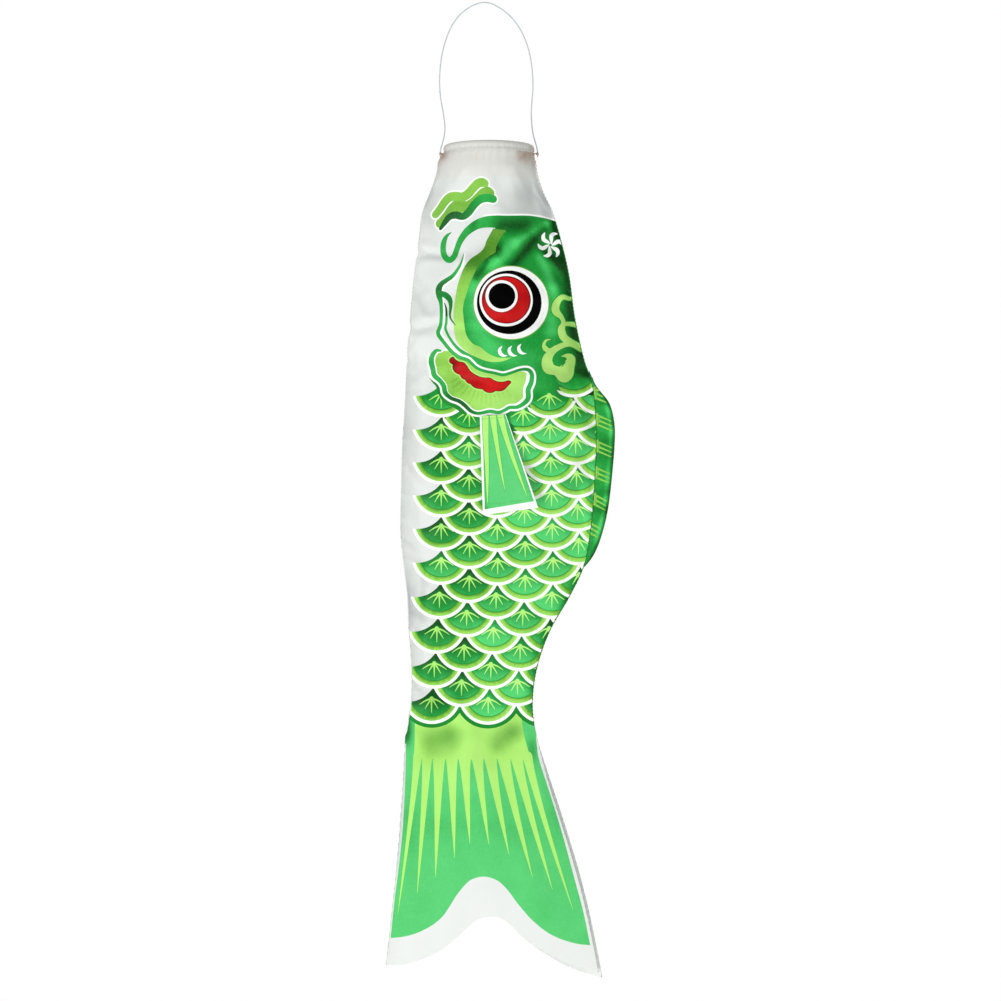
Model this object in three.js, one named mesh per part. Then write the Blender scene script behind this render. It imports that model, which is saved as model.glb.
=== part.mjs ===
// Carp streamer: a wind sock in the shape of a carp, hanging head up from a loop of cord.
// Millimetres, +Z up. The origin is the inside top of the loop, the point that it hangs by.
// +X points to the carp's back and -X to its belly. -Y is the carp's left side, +Y its right.
// Two printed satin panels make a tube. A wire hoop inside a hem holds its mouth open, and
// below the tail root the panels part into two loose tail flaps.

import * as THREE from 'three';

// ---- driving dimensions -------------------------------------------------------------------

const CLEARANCE = 0.3;           // between pieces that touch
const CLOTH = 0.8;               // thickness of a cloth solid, seam allowances included

// Counts that set how finely round and curved pieces are made.
const CORD_SIDES = 8;
const CORD_STEPS = 76;
const KNOT_SIDES = 14;
const KNOT_RINGS = 10;
const WIRE_SIDES = 8;
const SLEEVE_SIDES = 12;
const SLEEVE_STEPS = 8;
const THREAD_SIDES = 6;
const HOOP_STEPS = 60;
const HEM_THREAD_STEPS = 32;
const PANEL_COLUMNS = 14;
const PANEL_ROWS = 36;
const TAIL_COLUMNS = 16;
const TAIL_ROWS = 9;
const FIN_EDGE_STEPS = 30;
const FIN_SEAM_STEPS = 24;
const FIN_THREAD_STEPS = 20;

const CORD_DIAMETER = 1.1;
const KNOT_RADIUS = 1.4;
const KNOT_X = 41.2;
const KNOT_Z = -126.6;           // both knots lie on the axis that the carp swings about

const HOOP_RADIUS = 36.0;
const HOOP_WIRE = 1.4;
const HOOP_Z = -122.0;
const HOOP_JOINT = 60;           // degrees from +X towards +Y, where the wire's ends meet
const HOOP_GAP = 0.8;
const SLEEVE_LENGTH = 20;
const SLEEVE_WALL = 0.4;

const HEM_TOP = -119.7;
const HEM_BOTTOM = -126.7;
const HEM_WALL = 0.6;
const HEM_OUTER = 38.3;
const HEM_INNER = 33.7;
const HEM_STITCH_Z = -125.2;
const HEM_STITCH_END = 4;        // degrees from the knots to each end of the stitching

const THREAD_DIAMETER = 0.7;

const TUBE_TOP = 127.0;          // below the origin
const TUBE_END = 611.6;
const TAIL_TOP = 616.0;
const SEAM_EXTRA_GAP = 0.05;     // each panel's edge keeps this beyond half the clearance
const EDGE_NORMAL_SHARE = 0.99;  // keeps the section's normal defined at its sharp edges

// Seam threads, below the origin, and how many straight pieces each one has.
const BELLY_THREAD = { from: 135, to: 610, steps: 40 };
const UPPER_BACK_THREAD = { from: 132, to: 305, steps: 16 };
const LOWER_BACK_THREAD = { from: 478, to: 610, steps: 14 };
const SEAM_THREAD_GAP = 0.4;     // from the panels' edge to the thread
const SLOPE_STEP = 0.5;

const FIN_THICKNESS = 1.2;       // the back fin is two layers of cloth
const FIN_TOP = 308;             // below the origin
const FIN_END = 474;
const FIN_SEAM_GAP = 0.8;        // room for its inner edge to turn beside the panels
const FIN_STITCH_INSET = 3.0;
const FIN_STITCH_SKIP = 3;       // seam points without stitches at each end of the fin

const SIDE_FIN_Y = 15.8;         // outer face of a side fin
const SIDE_FIN_STITCH_DROP = 2.2;

// ---- the tube's shape ---------------------------------------------------------------------
// One row for each height: below the origin, belly edge X, back edge X, half depth in Y, and
// how far the section has gone from an ellipse (0) to a lens with sharp side seams (1).

const STATIONS = [
  [127, -39.0, 38.6, 37.9, 0.0],
  [132, -43.0, 38.8, 36.8, 0.05],
  [150, -46.3, 42.3, 32.5, 0.2],
  [174, -55.4, 52.9, 22.5, 0.6],
  [200, -58.9, 60.6, 16.0, 0.9],
  [225, -62.2, 66.5, 13.5, 1.0],
  [265, -66.1, 72.2, 13.0, 1.0],
  [300, -68.8, 80.0, 13.0, 1.0],
  [321, -69.7, 86.6, 13.0, 1.0],
  [345, -70.9, 89.3, 13.0, 1.0],
  [370, -72.6, 89.8, 13.0, 1.0],
  [410, -73.6, 88.0, 12.8, 1.0],
  [446, -74.0, 84.6, 12.3, 1.0],
  [475, -71.0, 78.8, 11.8, 1.0],
  [500, -68.3, 66.7, 11.0, 1.0],
  [525, -67.3, 52.2, 9.4, 1.0],
  [550, -65.4, 42.5, 7.6, 1.0],
  [575, -64.8, 37.3, 5.8, 1.0],
  [600, -66.9, 37.0, 4.8, 1.0],
  [612, -69.1, 38.9, 4.4, 1.0],
];

const stationCurve = new THREE.CubicInterpolant(
  STATIONS.map((row) => row[0]),
  STATIONS.flatMap((row) => row.slice(1)),
  4,
);

function stationAt(below) {
  const [belly, back, depth, lens] = stationCurve.evaluate(below);
  return { belly, back, depth, lens };
}

// A point of the left panel's outer face, or of its inner face when inset is the thickness.
// around runs from -1 at the belly seam to 1 at the back seam.
function tubePoint(below, around, inset) {
  const { belly, back, depth, lens } = stationAt(below);
  const angle = around * Math.PI / 2;
  const slopeAngle = angle * EDGE_NORMAL_SHARE;
  const half = (back - belly) / 2;
  const bulge = (a) => (1 - lens) * Math.cos(a) + lens * Math.cos(a) ** 2;
  const normal = new THREE.Vector2(
    depth * Math.sin(slopeAngle) * (1 - lens + 2 * lens * Math.cos(slopeAngle)),
    half * Math.cos(slopeAngle),
  ).normalize();
  const edgeY = CLEARANCE / 2 + SEAM_EXTRA_GAP + CLOTH * normal.y;
  const x = (belly + back) / 2 + half * Math.sin(angle) - inset * normal.x;
  const y = edgeY + depth * bulge(angle) - inset * normal.y;
  return new THREE.Vector3(x, -y, -below);
}

// ---- the tail flaps' shape ----------------------------------------------------------------

const TAIL_BELLY_EDGE = new THREE.CatmullRomCurve3([
  new THREE.Vector3(-69.9, 0, -616),
  new THREE.Vector3(-73.1, 0, -669.5),
  new THREE.Vector3(-78.6, 0, -736),
  new THREE.Vector3(-86.5, 0, -808),
]);
const TAIL_BACK_EDGE = new THREE.CatmullRomCurve3([
  new THREE.Vector3(40.0, 0, -616),
  new THREE.Vector3(56.8, 0, -669.5),
  new THREE.Vector3(77.3, 0, -736),
  new THREE.Vector3(95.0, 0, -819.5),
]);
const TAIL_FORK = new THREE.CatmullRomCurve3([
  new THREE.Vector3(-86.5, 0, -808),
  new THREE.Vector3(-69.7, 0, -807.2),
  new THREE.Vector3(-48.7, 0, -799.7),
  new THREE.Vector3(-33.6, 0, -790.4),
  new THREE.Vector3(-19.5, 0, -776.5),
  new THREE.Vector3(2.0, 0, -766.9),
  new THREE.Vector3(16.0, 0, -771.1),
  new THREE.Vector3(29.4, 0, -785.6),
  new THREE.Vector3(46.0, 0, -797.8),
  new THREE.Vector3(69.0, 0, -810.6),
  new THREE.Vector3(95.0, 0, -819.5),
]);
const TAIL_ROOT_BULGE = 4.4;
const TAIL_END_BULGE = 1.6;
const TAIL_END_SPREAD = 1.6;

// across runs 0 to 1 from belly to back, down runs 0 to 1 from the root to the fork.
function tailPoint(across, down, inset) {
  const top = new THREE.Vector3(
    THREE.MathUtils.lerp(TAIL_BELLY_EDGE.points[0].x, TAIL_BACK_EDGE.points[0].x, across),
    0,
    -TAIL_TOP,
  );
  const bottom = TAIL_FORK.getPointAt(across);
  const point = top.clone().lerp(bottom, down);
  for (const [edge, corner, weight] of [
    [TAIL_BELLY_EDGE, 0, 1 - across],
    [TAIL_BACK_EDGE, 1, across],
  ]) {
    const straight = edge.points[0].clone().lerp(TAIL_FORK.getPointAt(corner), down);
    point.addScaledVector(edge.getPointAt(down).sub(straight), weight);
  }
  const side = 2 * across - 1;
  const bulge = THREE.MathUtils.lerp(TAIL_ROOT_BULGE, TAIL_END_BULGE, down);
  const spread = CLEARANCE / 2 + CLOTH + TAIL_END_SPREAD * down;
  point.y = -(spread + bulge * (1 - side * side) - inset);
  return point;
}

// ---- shapes -------------------------------------------------------------------------------

// A closed slab between an outer and an inner grid of points. mirrored puts it at +Y.
function slab(pointAt, columns, rows, mirrored) {
  const positions = [];
  const indices = [];
  const perLayer = (columns + 1) * (rows + 1);
  for (const inset of [0, CLOTH]) {
    for (let r = 0; r <= rows; r += 1) {
      for (let c = 0; c <= columns; c += 1) {
        const p = pointAt(c / columns, r / rows, inset);
        positions.push(p.x, mirrored ? -p.y : p.y, p.z);
      }
    }
  }
  const quad = (a, b, c, d) => {
    if (mirrored) {
      indices.push(a, c, b, a, d, c);
    } else {
      indices.push(a, b, c, a, c, d);
    }
  };
  const outer = (c, r) => r * (columns + 1) + c;
  const inner = (c, r) => perLayer + outer(c, r);
  for (let r = 0; r < rows; r += 1) {
    for (let c = 0; c < columns; c += 1) {
      quad(outer(c, r), outer(c, r + 1), outer(c + 1, r + 1), outer(c + 1, r));
      quad(inner(c, r), inner(c + 1, r), inner(c + 1, r + 1), inner(c, r + 1));
    }
    quad(outer(0, r), inner(0, r), inner(0, r + 1), outer(0, r + 1));
    quad(outer(columns, r), outer(columns, r + 1), inner(columns, r + 1), inner(columns, r));
  }
  for (let c = 0; c < columns; c += 1) {
    quad(outer(c, 0), outer(c + 1, 0), inner(c + 1, 0), inner(c, 0));
    quad(outer(c, rows), inner(c, rows), inner(c + 1, rows), outer(c + 1, rows));
  }
  const geometry = new THREE.BufferGeometry();
  geometry.setAttribute('position', new THREE.Float32BufferAttribute(positions, 3));
  geometry.setIndex(indices);
  geometry.computeVertexNormals();
  return geometry;
}

function roundShape(radius, sides, holeRadius = 0) {
  const ring = (r) => Array.from({ length: sides }, (_, i) => {
    const angle = 2 * Math.PI * i / sides;
    return new THREE.Vector2(r * Math.cos(angle), r * Math.sin(angle));
  });
  const shape = new THREE.Shape(ring(radius));
  if (holeRadius > 0) {
    shape.holes.push(new THREE.Path(ring(holeRadius)));
  }
  return shape;
}

function rod(path, diameter, sides, steps, boreDiameter = 0) {
  return new THREE.ExtrudeGeometry(roundShape(diameter / 2, sides, boreDiameter / 2), {
    steps,
    extrudePath: path,
    bevelEnabled: false,
  });
}

// An arc of a level circle round the Z axis, from one angle to another, in degrees.
class LevelArc extends THREE.Curve {
  constructor(radius, z, from, to) {
    super();
    this.radius = radius;
    this.z = z;
    this.from = THREE.MathUtils.degToRad(from);
    this.to = THREE.MathUtils.degToRad(to);
  }

  getPoint(t, target = new THREE.Vector3()) {
    const angle = THREE.MathUtils.lerp(this.from, this.to, t);
    return target.set(this.radius * Math.cos(angle), this.radius * Math.sin(angle), this.z);
  }
}

// A flat cloth outline in X and Z, from its outer face to its inner face in Y.
function flatCloth(outline, outerY, innerY) {
  const geometry = new THREE.ExtrudeGeometry(new THREE.Shape(outline), {
    depth: innerY - outerY,
    bevelEnabled: false,
  });
  geometry.rotateX(Math.PI / 2);
  geometry.translate(0, innerY, 0);
  return geometry;
}

// A seam thread that runs down the outside of one edge of the tube.
function seamThread(edge, { from, to, steps }) {
  const outward = edge === 'back' ? 1 : -1;
  const offset = SEAM_THREAD_GAP + THREAD_DIAMETER / 2;
  const points = Array.from({ length: steps + 1 }, (_, i) => {
    const below = THREE.MathUtils.lerp(from, to, i / steps);
    const rise = stationAt(below + SLOPE_STEP)[edge] - stationAt(below - SLOPE_STEP)[edge];
    const normal = new THREE.Vector3(2 * SLOPE_STEP, 0, rise).normalize();
    const point = new THREE.Vector3(stationAt(below)[edge], 0, -below);
    return point.addScaledVector(normal, outward * offset);
  });
  return rod(new THREE.CatmullRomCurve3(points), THREAD_DIAMETER, THREAD_SIDES, steps);
}

// ---- the assembly -------------------------------------------------------------------------

const MATERIALS = {
  satin: { color: 0x4fcf6a, roughness: 0.42, metalness: 0 },
  whiteSatin: { color: 0xe8e9e3, roughness: 0.45, metalness: 0 },
  cord: { color: 0xf0f1ee, roughness: 0.6, metalness: 0 },
  thread: { color: 0xdfe4d8, roughness: 0.7, metalness: 0 },
  steel: { color: 0xb9bcc0, roughness: 0.3, metalness: 1 },
  plastic: { color: 0xd8d8d2, roughness: 0.5, metalness: 0 },
};

const group = new THREE.Group();

function add(name, geometry, material) {
  const mesh = new THREE.Mesh(geometry, new THREE.MeshStandardMaterial(MATERIALS[material]));
  mesh.name = name;
  group.add(mesh);
  return mesh;
}

function addCord() {
  const route = [
    [40.9, 0, -124.7], [40.1, 0, -120.5], [38.8, 0, -116.0], [37.4, 0, -111.0],
    [36.4, 0, -105.0], [35.8, 0, -98.0], [35.6, 0, -90.0], [36.2, 0, -81.5],
    [36.9, 0, -72.0], [36.8, 0, -62.0], [35.6, 0, -50.0], [33.2, 0, -38.5],
    [29.4, 0, -27.8], [24.2, 0, -18.4], [17.4, 0, -10.2], [9.4, 0, -3.9],
    [0.0, 0, 0.55], [-8.8, 0, 0.2], [-18.4, 0, -4.4], [-26.4, 0, -11.6],
    [-32.8, 0, -21.8], [-37.2, 0, -33.6], [-40.0, 0, -46.0], [-41.4, 0, -59.0],
    [-41.5, 0, -69.5], [-40.6, 0, -80.0], [-38.8, 0, -90.0], [-37.5, 0, -98.5],
    [-37.1, 0, -106.0], [-37.8, 0, -112.0], [-39.0, 0, -116.8], [-40.2, 0, -120.8],
    [-40.9, 0, -124.7],
  ].map((p) => new THREE.Vector3(...p));
  const cord = rod(new THREE.CatmullRomCurve3(route), CORD_DIAMETER, CORD_SIDES, CORD_STEPS);
  add('hanging_cord', cord, 'cord');
}

function addKnots() {
  for (const [name, side] of [['belly_cord_knot', -1], ['back_cord_knot', 1]]) {
    const knot = add(name, new THREE.SphereGeometry(KNOT_RADIUS, KNOT_SIDES, KNOT_RINGS), 'cord');
    knot.position.set(side * KNOT_X, 0, KNOT_Z);
  }
}

function addMouth() {
  const gapAngle = THREE.MathUtils.radToDeg(HOOP_GAP / HOOP_RADIUS) / 2;
  const wire = new LevelArc(HOOP_RADIUS, HOOP_Z, HOOP_JOINT + gapAngle, HOOP_JOINT + 360 - gapAngle);
  add('mouth_hoop', rod(wire, HOOP_WIRE, WIRE_SIDES, HOOP_STEPS), 'steel');

  const sleeveAngle = THREE.MathUtils.radToDeg(SLEEVE_LENGTH / HOOP_RADIUS) / 2;
  const sleeveBore = HOOP_WIRE + 2 * CLEARANCE;
  const sleeve = new LevelArc(HOOP_RADIUS, HOOP_Z, HOOP_JOINT - sleeveAngle, HOOP_JOINT + sleeveAngle);
  const sleeveDiameter = sleeveBore + 2 * SLEEVE_WALL;
  const tube = rod(sleeve, sleeveDiameter, SLEEVE_SIDES, SLEEVE_STEPS, sleeveBore);
  add('hoop_sleeve', tube, 'plastic');

  // The hem is an upside-down U round the wire, open at the bottom where it is sewn shut.
  const hemSection = [
    [HEM_OUTER, HEM_BOTTOM],
    [HEM_OUTER, HEM_TOP],
    [HEM_INNER, HEM_TOP],
    [HEM_INNER, HEM_BOTTOM],
    [HEM_INNER + HEM_WALL, HEM_BOTTOM],
    [HEM_INNER + HEM_WALL, HEM_TOP - HEM_WALL],
    [HEM_OUTER - HEM_WALL, HEM_TOP - HEM_WALL],
    [HEM_OUTER - HEM_WALL, HEM_BOTTOM],
    [HEM_OUTER, HEM_BOTTOM],
  ].map(([r, z]) => new THREE.Vector2(r, z));
  const hem = new THREE.LatheGeometry(hemSection, HOOP_STEPS);
  hem.rotateX(Math.PI / 2);
  add('mouth_hem', hem, 'whiteSatin');

  // Its line of stitches stops short of the two knots, so it is one arc on each side.
  const stitchRadius = HEM_OUTER + CLEARANCE + THREAD_DIAMETER / 2;
  for (const [name, start] of [['left_hem_thread', 180], ['right_hem_thread', 0]]) {
    const from = start + HEM_STITCH_END;
    const to = start + 180 - HEM_STITCH_END;
    const arc = new LevelArc(stitchRadius, HEM_STITCH_Z, from, to);
    add(name, rod(arc, THREAD_DIAMETER, THREAD_SIDES, HEM_THREAD_STEPS), 'thread');
  }
}

function addPanels() {
  const panelPoint = (across, down, inset) => {
    const below = THREE.MathUtils.lerp(TUBE_TOP, TUBE_END, down);
    return tubePoint(below, 2 * across - 1, inset);
  };
  for (const [side, mirrored] of [['left', false], ['right', true]]) {
    add(`${side}_side_panel`, slab(panelPoint, PANEL_COLUMNS, PANEL_ROWS, mirrored), 'satin');
    add(`${side}_tail_panel`, slab(tailPoint, TAIL_COLUMNS, TAIL_ROWS, mirrored), 'satin');
  }
}

function addSeams() {
  add('belly_seam_thread', seamThread('belly', BELLY_THREAD), 'thread');
  add('upper_back_seam_thread', seamThread('back', UPPER_BACK_THREAD), 'thread');
  add('lower_back_seam_thread', seamThread('back', LOWER_BACK_THREAD), 'thread');
}

function addBackFin() {
  const outerEdge = new THREE.SplineCurve([
    new THREE.Vector2(83.9, -FIN_TOP),
    new THREE.Vector2(90.6, -322),
    new THREE.Vector2(101.2, -336),
    new THREE.Vector2(105.6, -354),
    new THREE.Vector2(105.6, -372),
    new THREE.Vector2(103.7, -395),
    new THREE.Vector2(100.3, -424),
    new THREE.Vector2(94.8, -447),
    new THREE.Vector2(88.4, -463),
    new THREE.Vector2(80.4, -FIN_END),
  ]);
  const seam = (inset) => Array.from({ length: FIN_SEAM_STEPS + 1 }, (_, i) => {
    const below = THREE.MathUtils.lerp(FIN_END, FIN_TOP, i / FIN_SEAM_STEPS);
    return new THREE.Vector2(stationAt(below).back + inset, -below);
  });
  const outline = [...outerEdge.getPoints(FIN_EDGE_STEPS), ...seam(FIN_SEAM_GAP)];
  add('dorsal_fin', flatCloth(outline, -FIN_THICKNESS / 2, FIN_THICKNESS / 2), 'satin');

  const threadY = FIN_THICKNESS / 2 + CLEARANCE + THREAD_DIAMETER / 2;
  const stitched = seam(FIN_STITCH_INSET).slice(FIN_STITCH_SKIP, -FIN_STITCH_SKIP);
  const line = new THREE.CatmullRomCurve3(stitched.map((p) => new THREE.Vector3(p.x, 0, p.y)));
  for (const [name, side] of [['left_dorsal_thread', -1], ['right_dorsal_thread', 1]]) {
    const thread = rod(line, THREAD_DIAMETER, THREAD_SIDES, FIN_THREAD_STEPS);
    add(name, thread, 'thread').position.y = side * threadY;
  }
}

function addSideFins() {
  const outline = [[-7.6, -347.5], [-5.0, -429.9], [41.2, -423.9], [14.0, -345.9]];
  const stitches = [[-6.0, -347.2], [12.6, -345.9]];
  for (const [side, sign] of [['left', -1], ['right', 1]]) {
    const outerY = sign * SIDE_FIN_Y;
    const innerY = outerY - sign * CLOTH;
    const corners = outline.map(([x, z]) => new THREE.Vector2(x, z));
    const fin = flatCloth(corners, Math.min(outerY, innerY), Math.max(outerY, innerY));
    add(`${side}_pectoral_fin`, fin, 'satin');

    const threadY = outerY + sign * (CLEARANCE + THREAD_DIAMETER / 2);
    const [start, end] = stitches.map(
      ([x, z]) => new THREE.Vector3(x, threadY, z - SIDE_FIN_STITCH_DROP),
    );
    const thread = rod(new THREE.LineCurve3(start, end), THREAD_DIAMETER, THREAD_SIDES, 1);
    add(`${side}_pectoral_thread`, thread, 'thread');
  }
}

addCord();
addKnots();
addMouth();
addPanels();
addSeams();
addBackFin();
addSideFins();

export default group;
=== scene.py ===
"""Looks of the carp streamer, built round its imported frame.

Lengths in this script are millimetres in the frame's own axes, and turn into metres when a mesh
is made. The printed cloth is worked out on a flat pattern: x, and the depth below the hanging
point. Every colour of the print is a patch of the cloth's own mesh, so its edges stay sharp.
"""

import math

import bmesh
import bpy
import numpy as np
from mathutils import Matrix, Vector, geometry, kdtree


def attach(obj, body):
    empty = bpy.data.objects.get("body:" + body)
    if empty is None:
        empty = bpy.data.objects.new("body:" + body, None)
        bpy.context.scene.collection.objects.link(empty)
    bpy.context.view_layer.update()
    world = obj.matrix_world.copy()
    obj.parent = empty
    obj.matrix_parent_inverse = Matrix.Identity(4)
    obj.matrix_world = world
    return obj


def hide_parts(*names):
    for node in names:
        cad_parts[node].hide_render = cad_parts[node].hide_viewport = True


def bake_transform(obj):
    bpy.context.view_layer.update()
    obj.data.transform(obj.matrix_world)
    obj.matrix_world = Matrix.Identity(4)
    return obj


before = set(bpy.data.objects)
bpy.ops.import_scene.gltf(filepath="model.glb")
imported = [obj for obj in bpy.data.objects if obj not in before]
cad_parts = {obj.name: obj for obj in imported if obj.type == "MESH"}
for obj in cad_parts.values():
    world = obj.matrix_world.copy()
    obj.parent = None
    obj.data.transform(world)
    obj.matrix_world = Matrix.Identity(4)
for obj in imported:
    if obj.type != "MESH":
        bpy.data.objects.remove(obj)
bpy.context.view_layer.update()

MM = 0.001
LEFT = -1
RIGHT = 1
SIDES = [(LEFT, "left"), (RIGHT, "right")]


# ---- camera -------------------------------------------------------------------------------

CAMERA_PLACE = (0.0097, -2.165, -0.4178)     # metres, level with the middle of the fish
SENSOR_WIDTH = 36
LENS = 92.6


def add_camera():
    """A level camera that looks along +Y."""
    camera = bpy.data.cameras.new("camera")
    camera.sensor_width = SENSOR_WIDTH
    camera.lens = LENS
    holder = bpy.data.objects.new("camera", camera)
    bpy.context.scene.collection.objects.link(holder)
    holder.location = CAMERA_PLACE
    holder.rotation_euler = (math.radians(90), 0, 0)
    bpy.context.scene.camera = holder


add_camera()


# ---- curves on the flat pattern -----------------------------------------------------------

def unit(rows):
    """Each row scaled to length 1."""
    return rows / (np.linalg.norm(rows, axis=1)[:, None] + 1e-9)


def smooth_curve(points, step=1.5, axes=2):
    """Points about a step apart on a smooth curve through given ones.

    Only the first axes of a row count for the step. Any columns after them, such as a width,
    follow along the curve.
    """
    rows = np.asarray(points, float)
    guide = np.vstack([2 * rows[:1] - rows[1:2], rows, 2 * rows[-1:] - rows[-2:-1]])
    found = []
    for before, start, end, after in zip(guide, guide[1:], guide[2:], guide[3:]):
        count = max(1, math.ceil(np.linalg.norm((end - start)[:axes]) / step))
        t = (np.arange(count) / count)[:, None]
        found.append(start + 0.5 * t * (
            (end - before)
            + t * (2 * before - 5 * start + 4 * end - after)
            + t * t * (3 * start - before - 3 * end + after)
        ))
    return np.vstack([*found, rows[-1:]])


def space_curve(points, step):
    """The same in space."""
    return smooth_curve(points, step, 3)


def outline(*runs, step=1.5):
    """A closed outline of smooth runs that meet at corners."""
    return np.vstack([smooth_curve(run, step)[:-1] for run in runs])


def polygon(corners, step):
    """A closed outline with straight sides."""
    return outline(*zip(corners, [*corners[1:], corners[0]]), step=step)


def ellipse(x, depth, radius_x, radius_depth, step=1.5):
    """An ellipse as a closed outline."""
    count = max(12, round(2 * math.pi * radius_x / step))
    angle = np.arange(count) * 2 * math.pi / count
    return np.column_stack([x + radius_x * np.cos(angle), depth + radius_depth * np.sin(angle)])


def brush(points, step=1.5, left=0.0, right=0.0):
    """The outline of a brush stroke through rows of x, depth and width."""
    line = smooth_curve(points, step)
    along = unit(np.gradient(line[:, :2], axis=0))
    across = np.column_stack([along[:, 1], -along[:, 0]])
    half = np.maximum(line[:, 2], 0.1)[:, None] / 2
    one = line[:, :2] + across * (half + left)
    other = line[:, :2] - across * (half + right)
    turn = np.radians([60, 30, 0, -30, -60])[:, None]
    end = line[-1, :2] + half[-1] * (np.cos(turn) * along[-1] + np.sin(turn) * across[-1])
    start = line[0, :2] - half[0] * (np.cos(turn) * along[0] + np.sin(turn) * across[0])
    return np.vstack([start, one, end, other[::-1]])


def grown(loop, distance):
    """A closed outline moved outwards."""
    ahead = unit(np.roll(loop, -1, axis=0) - np.roll(loop, 1, axis=0))
    out = np.column_stack([ahead[:, 1], -ahead[:, 0]])
    x, depth = loop[:, 0], loop[:, 1]
    turns = np.sum(x * np.roll(depth, -1) - np.roll(x, -1) * depth)
    return loop + out * distance * (1 if turns > 0 else -1)


def shifted(points, x, depth):
    """Points moved over the pattern. Further columns stay as they are."""
    return [(p[0] + x, p[1] + depth, *p[2:]) for p in points]


def ease(value, low, high):
    """0 below low, 1 above high, and a smooth step between."""
    t = np.clip((np.asarray(value, float) - low) / (high - low), 0, 1)
    return t * t * (3 - 2 * t)


def bell(value, centre, width):
    """1 at the centre, falling off smoothly to both sides."""
    return np.exp(-(((np.asarray(value, float) - centre) / width) ** 2))


# ---- the cloth tube's shape ---------------------------------------------------------------
# depth below the origin, belly edge x, back edge x, half depth in y, lens share, edge y

STATIONS = np.array([
    [125.0, -37.7, 37.7, 37.4, 0.0, 0.2],
    [127.5, -39.6, 38.2, 37.8, 0.0, 0.2],
    [131, -41.8, 38.8, 36.9, 0.05, 0.2],
    [141, -43.4, 40.1, 34.8, 0.12, 0.2],
    [157, -48.6, 44.6, 29.8, 0.3, 0.2],
    [174, -55.2, 52.6, 22.5, 0.6, 0.2],
    [200, -58.9, 60.6, 16.0, 0.9, 0.2],
    [225, -62.2, 66.5, 13.5, 1, 0.2],
    [265, -66.1, 72.2, 13.0, 1, 0.2],
    [300, -68.8, 80.0, 13.0, 1, 0.2],
    [321, -69.7, 86.6, 13.0, 1, 0.2],
    [345, -70.9, 89.3, 13.0, 1, 0.2],
    [370, -72.6, 89.8, 13.0, 1, 0.2],
    [410, -73.6, 88.0, 12.8, 1, 0.2],
    [446, -74.0, 84.6, 12.3, 1, 0.2],
    [475, -71.0, 78.8, 11.8, 1, 0.2],
    [500, -68.3, 66.7, 11.0, 1, 0.2],
    [525, -67.3, 52.2, 9.4, 1, 0.2],
    [550, -65.4, 42.5, 7.6, 1, 0.2],
    [575, -64.8, 37.3, 5.8, 1, 0.2],
    [600, -66.9, 37.0, 4.8, 1, 0.3],
    [616, -69.9, 40.0, 4.4, 1, 0.9],
    [643, -71.6, 48.2, 3.8, 1, 1.3],
    [669, -73.1, 56.8, 3.4, 1, 1.6],
    [702, -75.6, 67.3, 2.9, 1, 1.9],
    [736, -78.6, 77.3, 2.5, 1, 2.2],
    [775, -82.6, 86.6, 2.0, 1, 2.4],
    [808, -86.5, 93.2, 1.6, 1, 2.6],
    [824, -88.4, 96.0, 1.4, 1, 2.6],
])
TOP = STATIONS[0, 0]
TAIL_ROOT = 612.0
PATTERN_HALF = 84.0          # half the flat pattern's width, the same at every depth
FRONT_LAYER_SETBACK = 2.3    # the right layer of the tail shows this far beyond the left one
CLOTH_THICKNESS = 0.28
LONGEST_EDGE = 2.4


def station(depth):
    """Belly edge, back edge, half depth, lens share and edge y, at any depth."""
    depth = np.asarray(depth, float)
    at = STATIONS[:, 0]
    slopes = np.gradient(STATIONS[:, 1:], at, axis=0)
    i = np.clip(np.searchsorted(at, depth) - 1, 0, len(at) - 2)
    span = at[i + 1] - at[i]
    t = np.clip((depth - at[i]) / span, 0, 1)[..., None]
    span = span[..., None]
    value = (
        (2 * t**3 - 3 * t**2 + 1) * STATIONS[i, 1:]
        + (t**3 - 2 * t**2 + t) * span * slopes[i]
        + (3 * t**2 - 2 * t**3) * STATIONS[i + 1, 1:]
        + (t**3 - t**2) * span * slopes[i + 1]
    )
    return np.moveaxis(value, -1, 0)


def edges(depth, side):
    """Belly and back edge of one cloth, with the small dents of its seams."""
    belly, back = station(depth)[:2]
    dents = 1.3 * bell(depth, 210, 4) + 1.4 * bell(depth, 274, 5) + 0.7 * bell(depth, 300, 4)
    dents = dents + 0.45 * np.sin(depth / 3.1) * ease(depth, 580, 596) * (1 - ease(depth, 628, 640))
    setback = FRONT_LAYER_SETBACK * ease(depth, TAIL_ROOT, 665) if side == LEFT else 0
    return belly + dents, back - setback


# ---- folds and puckers of the satin -------------------------------------------------------
# from x, depth to x, depth, half width, height

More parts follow.
